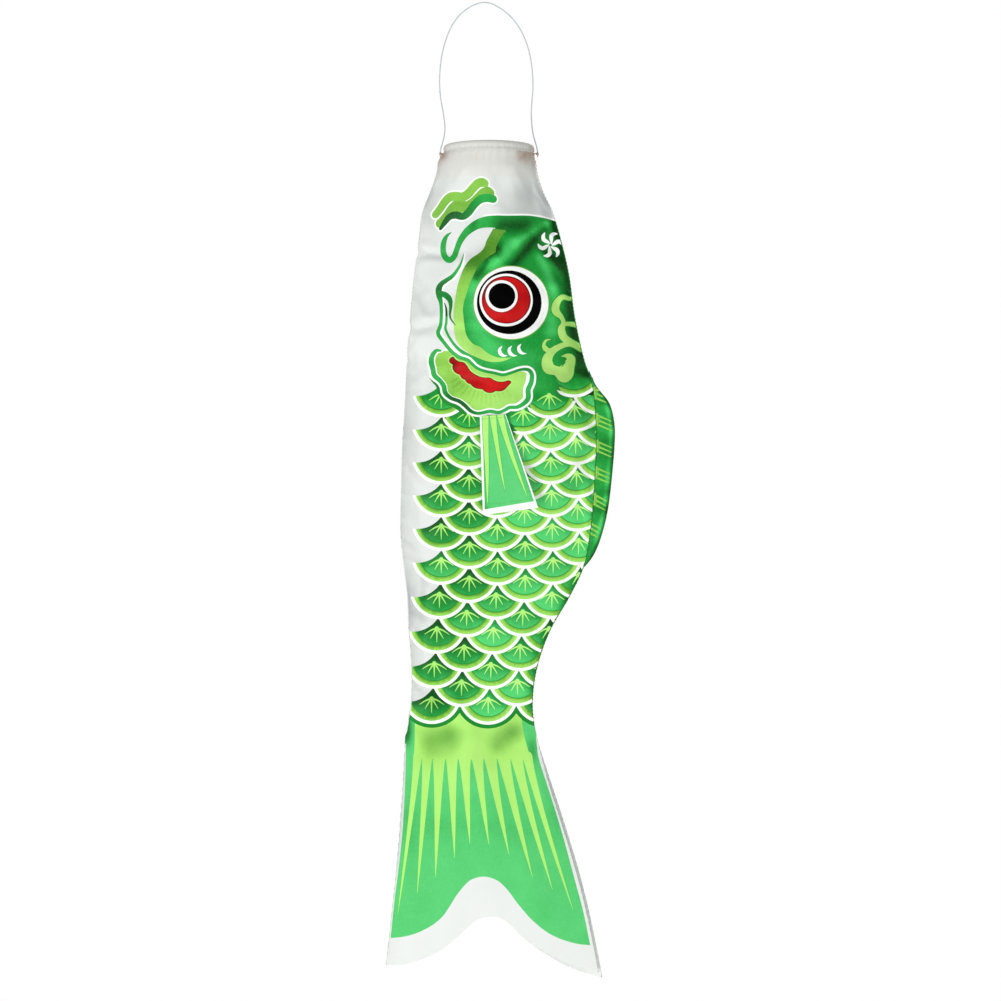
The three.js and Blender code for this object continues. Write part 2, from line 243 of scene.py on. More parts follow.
FOLDS = [
    (38, 186, -12, 222, 7.0, 1.9),
    (66, 214, 30, 190, 5.0, -1.5),
    (70, 232, 44, 222, 6.0, -1.3),
    (74, 262, 40, 214, 6.5, 1.2),
    (-56, 209, -36, 213, 3.4, -1.5),
    (-64, 274, -40, 268, 4.0, -1.8),
    (-62, 262, -44, 268, 5.0, 1.0),
    (-40, 132, -48, 196, 7.0, -2.0),
    (-22, 134, -30, 176, 9.0, 1.2),
    (30, 132, 40, 176, 7.0, -1.4),
    (8, 136, 10, 172, 9.0, -0.9),
    (-62, 300, -58, 470, 6.5, -1.5),
    (-52, 330, -66, 372, 5.0, 1.3),
    (-50, 392, -68, 440, 6.0, 1.3),
    (-48, 310, -46, 430, 8.0, 0.9),
    (-60, 470, -50, 590, 6.0, 1.1),
    (-52, 480, -60, 580, 5.0, -1.0),
    (74, 300, 60, 340, 6.0, -1.2),
    (84, 352, 50, 420, 10.0, 0.8),
    (70, 470, 26, 540, 8.0, 1.2),
    (56, 490, 22, 560, 6.0, -1.2),
    (-58, 636, -22, 612, 9.0, -2.2),
    (-2, 640, 28, 616, 9.0, -1.9),
    (-14, 600, -20, 660, 9.0, 1.4),
    (30, 620, 60, 700, 7.0, 0.9),
    (-62, 640, -70, 740, 7.0, 0.8),
    (20, 700, 58, 790, 12.0, 1.1),
    (-30, 690, -58, 780, 12.0, -1.0),
    (0, 660, 4, 740, 14.0, 0.9),
]


def relief(x, depth, side):
    """How far the satin stands out from the plain tube."""
    total = np.zeros_like(x)
    for x0, d0, x1, d1, width, height in FOLDS:
        if side == RIGHT:
            x0, x1, height = x0 * 0.9 - 6, x1 * 0.9 - 6, height * 0.9
            d0, d1 = d0 + 9, d1 + 4
        run = np.array([x1 - x0, d1 - d0], float)
        length = np.linalg.norm(run)
        run /= length
        along = (x - x0) * run[0] + (depth - d0) * run[1]
        across = (x - x0) * run[1] - (depth - d0) * run[0]
        fade = ease(along, -0.18 * length, 0.3 * length)
        fade = fade * (1 - ease(along, 0.7 * length, 1.18 * length))
        total += 1.5 * height * fade * np.exp(-((across / width) ** 2))
    swing = 0.9 * side
    total += 0.5 * np.sin(depth / 23 + x / 31 + swing) * np.sin(x / 17 + depth / 61 + swing)
    total += 0.28 * np.sin(depth / 11.5 - x / 14 + 2 * swing) * np.sin(depth / 37 + x / 9)
    return total


def puckers(u, depth):
    """Small gathers under the hem and along the two seams."""
    below_hem = np.exp(-np.maximum(depth - TOP, 0) / 7)
    total = 0.34 * below_hem * np.sin(u * 52 + 2 * np.sin(u * 9))
    near_back = np.exp(-(1 - np.minimum(u, 1)) / 0.05)
    near_belly = np.exp(-(1 + np.maximum(u, -1)) / 0.045)
    fin = ease(depth, 300, 318) * (1 - ease(depth, 466, 486))
    gather = np.sin(depth * 1.05 + 1.6 * np.sin(depth / 9))
    total += near_back * gather * (0.16 + 0.42 * fin)
    total += near_belly * 0.2 * np.sin(depth * 0.83 + 1.2 * np.sin(depth / 13))
    return total


SETTLED_TOP = 130.0
SETTLED_END = 606.0
SETTLED_ROWS = 100
SETTLED_COLUMNS = 33
SETTLED_LIMIT = 2.6
SETTLED = {}                 # filled by settle_tube, a grid of offsets for each side


def spline_weights(t):
    """The four weights of a cubic B-spline."""
    return np.stack([(1 - t) ** 3, 3 * t**3 - 6 * t**2 + 4, -3 * t**3 + 3 * t**2 + 3 * t + 1, t**3]) / 6


def settled(u, x, depth, side):
    """How far the simulated satin moved out or in, as a smooth surface through its grid."""
    if side not in SETTLED:
        return np.zeros_like(x)
    grid = SETTLED[side]
    down = (depth - SETTLED_TOP) / (SETTLED_END - SETTLED_TOP) * (SETTLED_ROWS - 1)
    across = (u + 1) / 2 * (SETTLED_COLUMNS - 1)
    down = np.clip(down, 0, SETTLED_ROWS - 1.001)
    across = np.clip(across, 0, SETTLED_COLUMNS - 1.001)
    row, column = down.astype(int), across.astype(int)
    total = np.zeros_like(x)
    for i, row_weight in enumerate(spline_weights(down - row)):
        for k, column_weight in enumerate(spline_weights(across - column)):
            there = grid[np.clip(row + i - 1, 0, SETTLED_ROWS - 1),
                         np.clip(column + k - 1, 0, SETTLED_COLUMNS - 1)]
            total += row_weight * column_weight * there
    under_fin = bell(x, 14, 30) * ease(depth, 332, 346) * (1 - ease(depth, 432, 446))
    total = np.where(total > 0, total * (1 - 0.9 * under_fin), total)
    return total * ease(depth, SETTLED_TOP, 150) * (1 - ease(depth, 588, SETTLED_END))


def panel_points(u, depth, side):
    """The outer face of one side's cloth. u runs from -1 at the belly to 1 at the back."""
    belly, back = edges(depth, side)
    half_depth, lens, edge_y = station(depth)[2:]
    angle = u * math.pi / 2
    x = (belly + back) / 2 + (back - belly) / 2 * np.sin(angle)
    y = edge_y + half_depth * ((1 - lens) * np.cos(angle) + lens * np.cos(angle) ** 2)
    flat = 1 - np.minimum(np.abs(u), 1) ** 4
    hung = ease(depth, 128, 150)
    tail = ease(depth, TAIL_ROOT, 690)
    pinned = flat + (1 - flat) * 0.5 * tail
    y = y + (relief(x, depth, side) * hung * pinned + puckers(u, depth)) * (1 - 0.15 * tail)
    y = y + settled(u, x, depth, side)
    lowest = 0.3 + 0.6 * tail
    y = np.maximum(y, lowest * (1 - 0.5 * (1 - flat)))
    return np.stack([x, side * y, -depth], axis=-1)


def pattern_outline(loop, side):
    """A closed outline on the flat pattern, with more points where the pattern stretches it."""
    there = to_pattern(loop, side)
    gaps = np.linalg.norm(np.roll(there, -1, axis=0) - there, axis=1)
    finer = []
    for start, end, gap in zip(loop, np.roll(loop, -1, axis=0), gaps):
        count = max(1, min(12, math.ceil(gap / LONGEST_EDGE)))
        finer.append(start + (end - start) * (np.arange(count) / count)[:, None])
    return to_pattern(np.vstack(finer), side)


def to_pattern(points, side=LEFT):
    """From x and depth to the flat pattern, where both seams are straight lines."""
    x, depth = points[:, 0], points[:, 1]
    belly, back = edges(depth, side)
    t = (x - (belly + back) / 2) / ((back - belly) / 2)
    inner = np.arcsin(np.clip(t, -1, 1)) * 2 / math.pi
    beyond = np.sign(t) * np.maximum(np.abs(t) - 1, 0) * 0.6
    return np.column_stack([(inner + beyond) * PATTERN_HALF, depth])


# ---- materials ----------------------------------------------------------------------------

def linear(code):
    """A colour like 0x1FA040 as linear red, green and blue."""
    channels = [(code >> shift & 255) / 255 for shift in (16, 8, 0)]
    return [c / 12.92 if c <= 0.04045 else ((c + 0.055) / 1.055) ** 2.4 for c in channels]


class Nodes:
    """A small helper to write a node tree line by line."""

    def __init__(self, name):
        self.material = bpy.data.materials.new(name)
        self.material.use_nodes = True
        self.tree = self.material.node_tree
        self.shader = self.tree.nodes["Principled BSDF"]

    def add(self, kind, **settings):
        node = self.tree.nodes.new(kind)
        for key, value in settings.items():
            setattr(node, key, value)
        return node

    def link(self, source, target):
        self.tree.links.new(source, target)

    def math(self, operation, first, second=None):
        node = self.add("ShaderNodeMath", operation=operation)
        for socket, value in zip(node.inputs, (first, second)):
            if isinstance(value, (int, float)):
                socket.default_value = value
            elif value is not None:
                self.link(value, socket)
        return node.outputs[0]

    def noise(self, scale, detail=2.0, stretch=(1, 1, 1)):
        place = self.add("ShaderNodeMapping")
        place.inputs["Scale"].default_value = stretch
        self.link(self.add("ShaderNodeTexCoord").outputs["Object"], place.inputs["Vector"])
        texture = self.add("ShaderNodeTexNoise")
        texture.inputs["Scale"].default_value = scale
        texture.inputs["Detail"].default_value = detail
        self.link(place.outputs[0], texture.inputs["Vector"])
        return texture.outputs["Fac"]

    def threads(self, direction, period):
        """Fine parallel threads with the given spacing in metres."""
        texture = self.add("ShaderNodeTexWave", bands_direction=direction)
        texture.inputs["Scale"].default_value = 0.314 / period
        texture.inputs["Distortion"].default_value = 0.6
        texture.inputs["Detail Scale"].default_value = 2.0
        self.link(self.add("ShaderNodeTexCoord").outputs["Object"], texture.inputs["Vector"])
        return texture.outputs["Fac"]

    def ramp(self, factor, stops):
        node = self.add("ShaderNodeValToRGB")
        elements = node.color_ramp.elements
        while len(elements) < len(stops):
            elements.new(0.5)
        for element, (place, code) in zip(elements, stops):
            element.position = place
            element.color = (*linear(code), 1)
        self.link(factor, node.inputs["Fac"])
        return node.outputs["Color"]

    def bump(self, height, strength, distance):
        node = self.add("ShaderNodeBump")
        node.inputs["Strength"].default_value = strength
        node.inputs["Distance"].default_value = distance
        self.link(height, node.inputs["Height"])
        self.link(node.outputs[0], self.shader.inputs["Normal"])

    def set(self, **values):
        for key, value in values.items():
            self.shader.inputs[key.replace("_", " ").title().replace("Ior", "IOR")].default_value = value


def weave(nodes, strength=0.25):
    """The satin's fine threads, as a bump."""
    across = nodes.math("MULTIPLY", nodes.threads("Z", 0.00042), 0.6)
    down = nodes.math("MULTIPLY", nodes.threads("X", 0.00028), 1.0)
    cloud = nodes.math("MULTIPLY", nodes.noise(700, 3), 1.2)
    nodes.bump(nodes.math("ADD", nodes.math("ADD", across, down), cloud), strength, 0.00006)


def satin(name, dark, middle, light, drift_amount=0.30, grain_amount=0.22, specular=0.13):
    """Printed satin. The mesh's shade attribute, 0 to 1, picks from dark to light: the print's own tones,
    and painted light and shade.
    """
    nodes = Nodes(name)
    shade = nodes.add("ShaderNodeAttribute", attribute_name="shade").outputs["Fac"]
    cloud = nodes.math("SUBTRACT", nodes.noise(55, 4), 0.5)
    speck = nodes.math("SUBTRACT", nodes.noise(620, 3), 0.5)
    drift = nodes.math("MULTIPLY", cloud, drift_amount)
    grain = nodes.math("MULTIPLY", speck, grain_amount)
    factor = nodes.math("ADD", nodes.math("ADD", shade, drift), grain)
    colour = nodes.ramp(factor, [(0.0, dark), (0.5, middle), (1.0, light)])
    nodes.link(colour, nodes.shader.inputs["Base Color"])
    nodes.set(roughness=0.44, sheen_weight=0.02, sheen_roughness=0.4)
    nodes.shader.inputs["Specular IOR Level"].default_value = specular
    weave(nodes, 0.18)
    return nodes.material


def satin_reverse(name):
    """The inside of the printed cloth, where the print shows through paler."""
    nodes = Nodes(name)
    print_colour = nodes.add("ShaderNodeAttribute", attribute_name="print").outputs["Color"]
    mix = nodes.add("ShaderNodeMix", data_type="RGBA")
    mix.inputs[0].default_value = 0.55
    mix.inputs[6].default_value = (*linear(0xF2F4F0), 1)
    nodes.link(print_colour, mix.inputs[7])
    nodes.link(mix.outputs[2], nodes.shader.inputs["Base Color"])
    nodes.set(roughness=0.62, sheen_weight=0.2, sheen_roughness=0.5)
    weave(nodes, 0.35)
    return nodes.material


def twisted(name, dark, light, roughness=0.62, scale=260):
    """Cord or thread: twisted fibres, with painted shade in the hollows between its strands."""
    nodes = Nodes(name)
    fibres = nodes.noise(scale * 12, 4, (1, 1, 0.35))
    soil = nodes.noise(scale, 3)
    factor = nodes.math("ADD", nodes.math("MULTIPLY", fibres, 0.7), nodes.math("MULTIPLY", soil, 0.4))
    nodes.link(nodes.ramp(factor, [(0.3, dark), (0.75, light)]), nodes.shader.inputs["Base Color"])
    nodes.set(roughness=roughness, sheen_weight=0.3, sheen_roughness=0.5)
    nodes.bump(fibres, 0.5, 0.00008)
    return nodes.material


def drawn_wire():
    """The hoop's steel wire, with fine scratches along it."""
    nodes = Nodes("drawn_wire")
    scratches = nodes.noise(900, 3, (1, 1, 6))
    colour = nodes.ramp(scratches, [(0.3, 0x8E9194), (0.7, 0xC4C7CA)])
    nodes.link(colour, nodes.shader.inputs["Base Color"])
    nodes.set(metallic=1.0, roughness=0.32)
    nodes.bump(scratches, 0.2, 0.00004)
    return nodes.material


def tube_plastic():
    """The milky plastic of the tube that joins the hoop's ends."""
    nodes = Nodes("tube_plastic")
    haze = nodes.noise(300, 2)
    colour = nodes.ramp(haze, [(0.3, 0xC9C9C1), (0.7, 0xE0E0DA)])
    nodes.link(colour, nodes.shader.inputs["Base Color"])
    nodes.set(roughness=0.48)
    nodes.bump(haze, 0.15, 0.00005)
    return nodes.material


# dark, middle and light of each printing ink
INKS = {
    "white": (0x9CA2A2, 0xE0E4E1, 0xF0F2EF),
    # white cloth whose brown dark end is painted warm shade, for the neck and the hem's ends
    "white_with_painted_warm_shade": (0x9A7452, 0xD9DAD4, 0xE8E9E4),
    "white_ink": (0xD2DAD2, 0xFBFDFA, 0xFEFFFE),
    "head_green": (0x013C08, 0x1A9A38, 0x52DC74),
    "rim_green": (0x045016, 0x28A646, 0x4CD06A),
    "dark_green": (0x023A08, 0x0A7A1C, 0x1C9A38),
    "lime": (0x3F821C, 0x90D052, 0xBAF280),
    "motif": (0x6CB034, 0xAEE274, 0xCAF494),
    "scale_green": (0x024A0C, 0x1C963C, 0x56D674),
    "scale_band": (0x4A901E, 0x8ED250, 0xB0F074),
    "scale_line": (0x05520F, 0x118A2A, 0x2FAE4A),
    "ray": (0x80C64C, 0xAEF076, 0xC8FF90),
    "tail_green": (0x0C762B, 0x50C66C, 0x6EE088),
    "tail_lime": (0x5A9E38, 0xA8E66C, 0xC0F686),
    "red": (0x5A0204, 0xC2070A, 0xDC1816),
    "dark_red": (0x2A0202, 0x5A0406, 0x860A0C),
    "black": (0x010101, 0x020101, 0x060404),
}
CALM_INKS = {                # drift, grain and specular level where they differ from the rest
    "white": (0.12, 0.07, 0.13),
    "white_with_painted_warm_shade": (0.12, 0.07, 0.13),
    "white_ink": (0.10, 0.06, 0.13),
    "tail_lime": (0.22, 0.10, 0.13),
    "motif": (0.20, 0.10, 0.13),
    "black": (0.10, 0.06, 0.03),
}
MATERIALS = {
    name: satin("satin_" + name, *tones, *CALM_INKS.get(name, ())) for name, tones in INKS.items()
}
MATERIALS["reverse"] = satin_reverse("satin_reverse")
SLOTS = {name: i for i, name in enumerate(MATERIALS)}
CORD_FIBRE = twisted("cord_fibre", 0xA8B6BC, 0xDCE6EC)
KNOT_FIBRE = twisted("knot_fibre", 0x8A6A48, 0xD8C8B0)
THREAD = twisted("white_thread", 0xC6CCC2, 0xF2F4EE, scale=500)
GREEN_THREAD = twisted("green_thread", 0x1E8A38, 0x4CC066, scale=500)
LIME_THREAD = twisted("lime_thread", 0x6CC86A, 0x9EE690, scale=500)


# ---- the print ----------------------------------------------------------------------------
# A layer is an ink, a closed outline of x and depth, and a shade: a number or a function.

SCALE_RADIUS = 25.2
SCALE_BAND = 22.6            # outer radius of the yellow-green band
SCALE_LINE = 18.9
SCALE_FIELD = 18.2
SCALE_PITCH = 28.6
SCALE_CENTRE_DROP = 3.4      # from the scale's top point to the middle of its arc
SCALE_COLUMNS = [            # x, first top point's depth, rows, tone
    (-40.0, 348.0, 9, 0.30),
    (-16.4, 363.2, 8, 0.36),
    (6.7, 348.5, 9, 0.58),
    (29.7, 362.8, 8, 0.68),
    (52.6, 348.0, 9, 0.76),
    (74.2, 331.8, 7, 0.66),
    (97.2, 317.5, 6, 0.62),
]
RAY_ENDS = [(-64, 11.2), (-33, 10.0), (0, 11.6), (33, 10.0), (64, 11.6)]


def scale_place(x, depth):
    """Where a column of scales is at a depth: it spreads downwards, then leans to the belly."""
    spread = 0.00027 * (x + 40) * (min(depth, 480) - 410)
    return x + spread - 0.075 * max(depth - 468, 0)


def scale_arc(x, depth, radius, low=-90, high=90, roof=7.0, step=1.7):
    """A half disc that hangs down, with a roof over it."""
    count = max(10, round(radius * math.radians(high - low) / step))
    angle = np.radians(np.linspace(low, high, count + 1))
    loop = np.column_stack([x + radius * np.sin(angle), depth + radius * np.cos(angle)])
    return np.vstack([loop, [[x, depth - roof]]])


WARM_SHADE_END = 149               # down to here the white cloth takes the ink with the neck's painted warm shade


def back_edge_shade(x, depth):
    """Painted shade: the cloth turns dark where it rolls over to the back seam below the fin."""
    back = station(depth)[1]
    return 0.75 * np.exp(-np.maximum(back - x, 0) / 4.5) * ease(depth, 455, 500)


def cloth_shade(x, depth):
    """Painted soft shadows in the white cloth, below the neck and along the belly, and painted light on
    parts of the belly and lower down the tail.
    """
    belly = station(depth)[0]
    shade = 0.50 - 0.16 * ease(x, -4, 40) * ease(depth, 150, 166) * (1 - ease(depth, 176, 196))
    shade = shade - 0.20 * np.exp(-(x - belly) / 7) * ease(depth, 190, 320)
    below_neck = ease(depth, WARM_SHADE_END, 162) * (1 - ease(depth, 178, 196))
    shade = shade - (0.10 * bell(x, 26, 9) + 0.20 * bell(x, -51, 8)) * below_neck
    low_belly = 0.26 * bell(depth, 505, 22) + 0.10 * bell(depth, 366, 20)
    shade = shade - (low_belly - 0.12 * bell(depth, 286, 18)) * np.exp(-(x - belly) / 14)
    shade = shade + 0.16 * bell(x, -28, 9) * ease(depth, 185, 205) * (1 - ease(depth, 280, 300))
    return shade + 0.16 * ease(depth, 700, 760)


def scale_layers(x, top, tone, opened=None, rays=True):
    """One fish scale. opened is the part of its arc that is drawn, in degrees, on the first row."""
    middle = top + SCALE_CENTRE_DROP

    def field_shade(px, pd):
        across, down = px - x, pd - middle
        rim = SCALE_FIELD - np.hypot(across, down)
        sides = SCALE_RADIUS - np.hypot(np.abs(across) - 23.1, down + 14.3)
        shade = tone + 0.012 * down - 0.30 * np.exp(-np.maximum(-sides, 0) / 2.2)
        shade = shade + 0.10 * np.exp(-np.maximum(rim, 0) / 3.0) + 0.012 * np.abs(across) * (1 - tone)
        return shade - back_edge_shade(px, pd)

    def band_shade(px, pd):
        distance = np.hypot(px - x, pd - middle)
        across = (distance - (SCALE_BAND + SCALE_LINE) / 2) / (SCALE_BAND - SCALE_LINE)
        return 0.36 + 0.50 * tone + 0.55 * across - 0.7 * across**2 - back_edge_shade(px, pd)

    def opened_shade(px, pd):
        share = ease(pd, middle - 1, middle + 13)
        return head_shade(px, pd) * (1 - share) + field_shade(px, pd) * share

    low, high = opened or (-90, 90)
    found = []
    if opened:
        field = scale_arc(x, middle, SCALE_FIELD + 0.7, -88, 88, 0.4)
        found.append(("head_green", field, opened_shade))
        for ink, outer, inner, shade in [
            ("white_ink", SCALE_RADIUS, SCALE_BAND, 0.6),
            ("scale_band", SCALE_BAND, SCALE_LINE, band_shade),
            ("scale_line", SCALE_LINE, SCALE_FIELD, 0.4),
        ]:
            angles = np.radians(np.linspace(low, high, 40))
            radius = (outer + inner) / 2
            taper = np.minimum(1, (angles - angles[0]) * 6 + 0.15)
            rows = np.column_stack([
                x + radius * np.sin(angles),
                middle + radius * np.cos(angles),
                (outer - inner) * taper,
            ])
            found.append((ink, brush(rows), shade))
    else:
        found.append(("white_ink", scale_arc(x, middle, SCALE_RADIUS), 0.55))
        found.append(("scale_band", scale_arc(x, middle, SCALE_BAND), band_shade))
        found.append(("scale_line", scale_arc(x, middle, SCALE_LINE), 0.45 + 0.4 * tone))
        found.append(("scale_green", scale_arc(x, middle, SCALE_FIELD), field_shade))
    if rays:
        hub = (x, top + (9.0 if opened else 7.2))
        tip_shade = 0.25 + 0.6 * tone
        for angle, length in RAY_ENDS:
            turn = math.radians(angle)
            tip = (hub[0] + length * math.sin(turn), hub[1] + length * math.cos(turn) * 1.02)
            bend = ((hub[0] + tip[0]) / 2, (hub[1] + tip[1]) / 2 - 0.012 * abs(angle))
            found.append(("ray", brush([(*hub, 1.6), (*bend, 1.2), (*tip, 0.45)], 2.2), tip_shade))
        found.append(("ray", ellipse(hub[0], hub[1] - 0.2, 1.7, 1.5), tip_shade))
    return found


def scale_field():
    """All scales, the lowest first, so that each one covers the tops of those below it."""
    scales = []
    for number, (x, first, rows, tone) in enumerate(SCALE_COLUMNS):
        for row in range(rows):
            top = first + SCALE_PITCH * row - 2.5 * math.sin(math.pi * row / 8)
            wander = 0.13 * math.sin(2.1 * number + 3.7 * row) + 0.09 * math.sin(5.3 * row + number)
            deep = 0.10 if number < 2 and row > 4 else 0.0
            scales.append((top, scale_place(x, top), tone + wander - deep, number))
    scales.sort(key=lambda scale: -scale[0])
    layers = []
    for top, x, tone, number in scales:
        layers += scale_layers(x, top, min(max(tone, 0.12), 0.85))
        if number == 0:
            ghost = scale_arc(x - 20.4, top - 15.0, SCALE_RADIUS, -90, 90, 12)
            layers.append(("white", ghost, cloth_shade))
    return layers


def first_scales():
    """The row under the head, whose green runs on from the head without an outline."""
    layers = scale_layers(28.5, 334.2, 0.50, (-20, 62))
    layers += scale_layers(-16.4, 335.0, 0.30, (-68, 30))
    layers += scale_layers(50.4, 320.6, 0.42, (-50, 62))
    layers += scale_layers(71.2, 302.8, 0.30, (-36, 72), rays=False)
    layers += scale_layers(-40.0, 319.6, 0.28, (-78, 45))
    layers.append(("white", scale_arc(-60.4, 304.6, SCALE_RADIUS, -60, 90, 12), cloth_shade))
    return layers


# painted satin highlights and shade, as streaks: from x, depth to x, depth, half width, amount
HEAD_STREAKS = [
    (-4, 190.0, 30, 187.0, 7.0, -0.38),
    (50, 184.0, 22, 203.0, 3.2, 0.40),
    (21, 204.0, 3, 222.0, 5.4, 0.34),
    (45, 191.0, 20, 221.0, 5.0, -0.44),
    (43, 213.0, 54, 238.0, 3.8, 0.38),
    (55, 242.0, 52, 276.0, 5.5, 0.28),
    (45, 208.0, 62, 221.0, 3.6, -0.46),
    (55.4, 183.0, 57.5, 192.0, 1.9, -0.60),
    (49, 186.0, 51, 191.0, 2.0, 0.24),
    (-11, 230.0, 6, 208.0, 2.8, -0.60),
    (9, 204.0, 8, 212.0, 3.0, -0.36),
    (-14, 240.0, -4, 290.0, 9.0, 0.34),
    (6, 298.0, 34, 300.0, 10.0, 0.20),
    (-6, 222.0, 6, 218.0, 4.0, 0.24),
]


def streak(x, depth, x0, d0, x1, d1, width):
    """1 along a line between two places, fading to 0 beside it and past its ends."""
    length = math.hypot(x1 - x0, d1 - d0)
    run_x, run_d = (x1 - x0) / length, (d1 - d0) / length
    along = (x - x0) * run_x + (depth - d0) * run_d
    across = (x - x0) * run_d - (depth - d0) * run_x
    past = np.maximum(-along, 0) + np.maximum(along - length, 0)
    return np.exp(-((across / width) ** 2)) * np.exp(-((past / (0.8 * width + 1)) ** 2))


def head_shade(x, depth):
    """Painted light and shade on the head: sheen highlights and shade in streaks, and painted shade in a
    strip along the back seam and in two patches near it.
    """
    back = station(depth)[1]
    shade = 0.50 - 0.56 * np.exp(-np.maximum(back - x - 1.6, 0) / 5.0)
    for *line, width, amount in HEAD_STREAKS:
        shade = shade + amount * streak(x, depth, *line, width)
    shade = shade - 0.20 * bell(x - 0.2 * (depth - 270), 70, 8) * bell(depth, 270, 40)
    return shade - 0.42 * bell(x, 74, 13) * bell(depth, 316, 14)


def head_layers():
    """The green head and the shapes printed on it."""
    layers = []
    green = outline(
        [(6, 181.0), (20, 180.0), (34, 179.6), (48, 181.2), (56, 182.9), (66, 185)],
        [(66, 185), (90, 260)],
        [(90, 260), (110, 330)],
        [(110, 330), (78, 330), (50, 340), (26, 346), (0, 340)],
        [(0, 340), (-14, 325), (-22, 297)],
        [(-22, 297), (-8.7, 299), (-17.8, 294), (-25.5, 286.9), (-28.7, 278.5), (-29.7, 262),
         (-28.1, 247.5), (-25.9, 236.7), (-21.6, 225.5), (-15.5, 217), (-8.2, 211.2),
         (-4.2, 206.8), (0.5, 196.6), (5.5, 190.4)],
        [(5.5, 190.4), (6, 181.0)],
    )
    layers.append(("white_ink", brush(
        [(-4, 180.2, 1.2), (20, 179.2, 1.5), (34, 178.8, 1.5), (48, 180.4, 1.5), (62, 183.4, 1.5)]
    ), 0.6))
    layers.append(("head_green", green, head_shade))
    lobe = outline(
        [(3.6, 190.9), (0.3, 196.6), (-2.4, 201.9), (-4.4, 207.6), (-8.6, 211.5)],
        [(-8.6, 211.5), (-16.3, 217), (-21.6, 225), (-25.9, 236.7), (-28.1, 247.5), (-29.7, 260.8),
         (-28.7, 278.5), (-25.5, 286.9), (-17.8, 294), (-8.7, 299), (1.5, 302), (11.8, 301.4),
         (18.9, 298.6)],
        [(18.9, 298.6), (7.3, 298.3), (-1.1, 294.6), (-6.8, 289.8), (-13.9, 286.3),
         (-19.1, 278.5), (-21.1, 265.7), (-21.6, 256), (-18.5, 243.6), (-14.6, 233), (-8.2, 221.8),
         (-1.3, 215.3), (5.5, 211)],
        [(5.5, 211), (6.8, 204.5), (10.5, 197.7), (14.6, 192.2)],
        [(14.6, 192.2), (3.6, 190.9)],
    )
    lobe_shade = lambda x, depth: 0.10 + 0.70 * ease(depth, 200, 274) - 0.20 * bell(depth, 221, 7)
    layers.append(("lime", lobe, lobe_shade))
    curl = [(-31.3, 193.2, 0.5), (-35.3, 196.2, 2.8), (-37.8, 201.5, 4.4), (-38.4, 208, 4.8),
            (-36.8, 213.6, 5.0), (-33.0, 216.6, 5.4), (-29.2, 213.6, 5.0), (-26.9, 207.8, 4.6),
            (-24.4, 201.4, 5.0), (-20.4, 195.4, 5.8), (-15.2, 190.6, 6.8), (-8.6, 187.0, 8.0),
            (-1, 185.4, 9.4), (7, 185.4, 10.2), (13, 185.7, 10.6)]
    curl_shade = lambda x, depth: (
        head_shade(x, depth) * ease(x, -2, 10) + 0.58 * (1 - ease(x, -2, 10)) - 0.22 * bell(x, -13, 2)
    )
    layers.append(("head_green", brush(curl), curl_shade))
    return layers


def eyebrow_layers():
    """Three wavy stripes, the same wave moved down twice."""
    wave = [(-44.8, 178.0, 6.2), (-40.6, 173.2, 6.6), (-36.5, 168.0, 7.0), (-32.5, 165.0, 7.2),
            (-27.5, 164.6, 7.2), (-22.5, 165.4, 7.2), (-17.8, 163.4, 7.2), (-13.0, 158.6, 7.2),
            (-9.2, 155.2, 7.4), (-5.6, 154.2, 7.4), (-3.4, 155.0, 6.6)]
    dark = [(-40.6, 190.0, 2.6), (-36.6, 184.6, 4.6), (-32.6, 180.4, 5.4), (-27.5, 179.4, 6.0),
            (-21.8, 180.6, 6.0), (-17.0, 177.6, 6.2), (-12.2, 171.6, 6.4), (-7.0, 167.4, 6.6),
            (-1.0, 166.4, 6.6), (3.6, 167.2, 6.4)]
    middle = [(x + 4.0, depth + 7.6, width + 1.6) for x, depth, width in wave]
    layers = [("white_ink", grown(brush(run), 1.3), 0.6) for run in (wave, middle, dark)]
    layers.append(("lime", brush(middle), 0.30))
    layers.append(("lime", brush([(-30, 173.5, 5), (-23, 175.0, 5), (-17, 173, 5)]), 0.30))
    layers.append(("rim_green", brush(dark), lambda x, depth: 0.04 + 0.46 * ease(x, -32, 0)))
    layers.append(("lime", brush(wave), 0.40))
    between = shifted(wave, 2.2, 3.6)
    for first, widths in [(0, (0.9, 1.2, 0.9, 0.2)), (6, (0.2, 1.0, 1.1, 0.2))]:
        slit = [(x, depth, width) for (x, depth, _), width in zip(between[first:], widths)]
        layers.append(("white_ink", brush(slit), 0.6))
    return layers


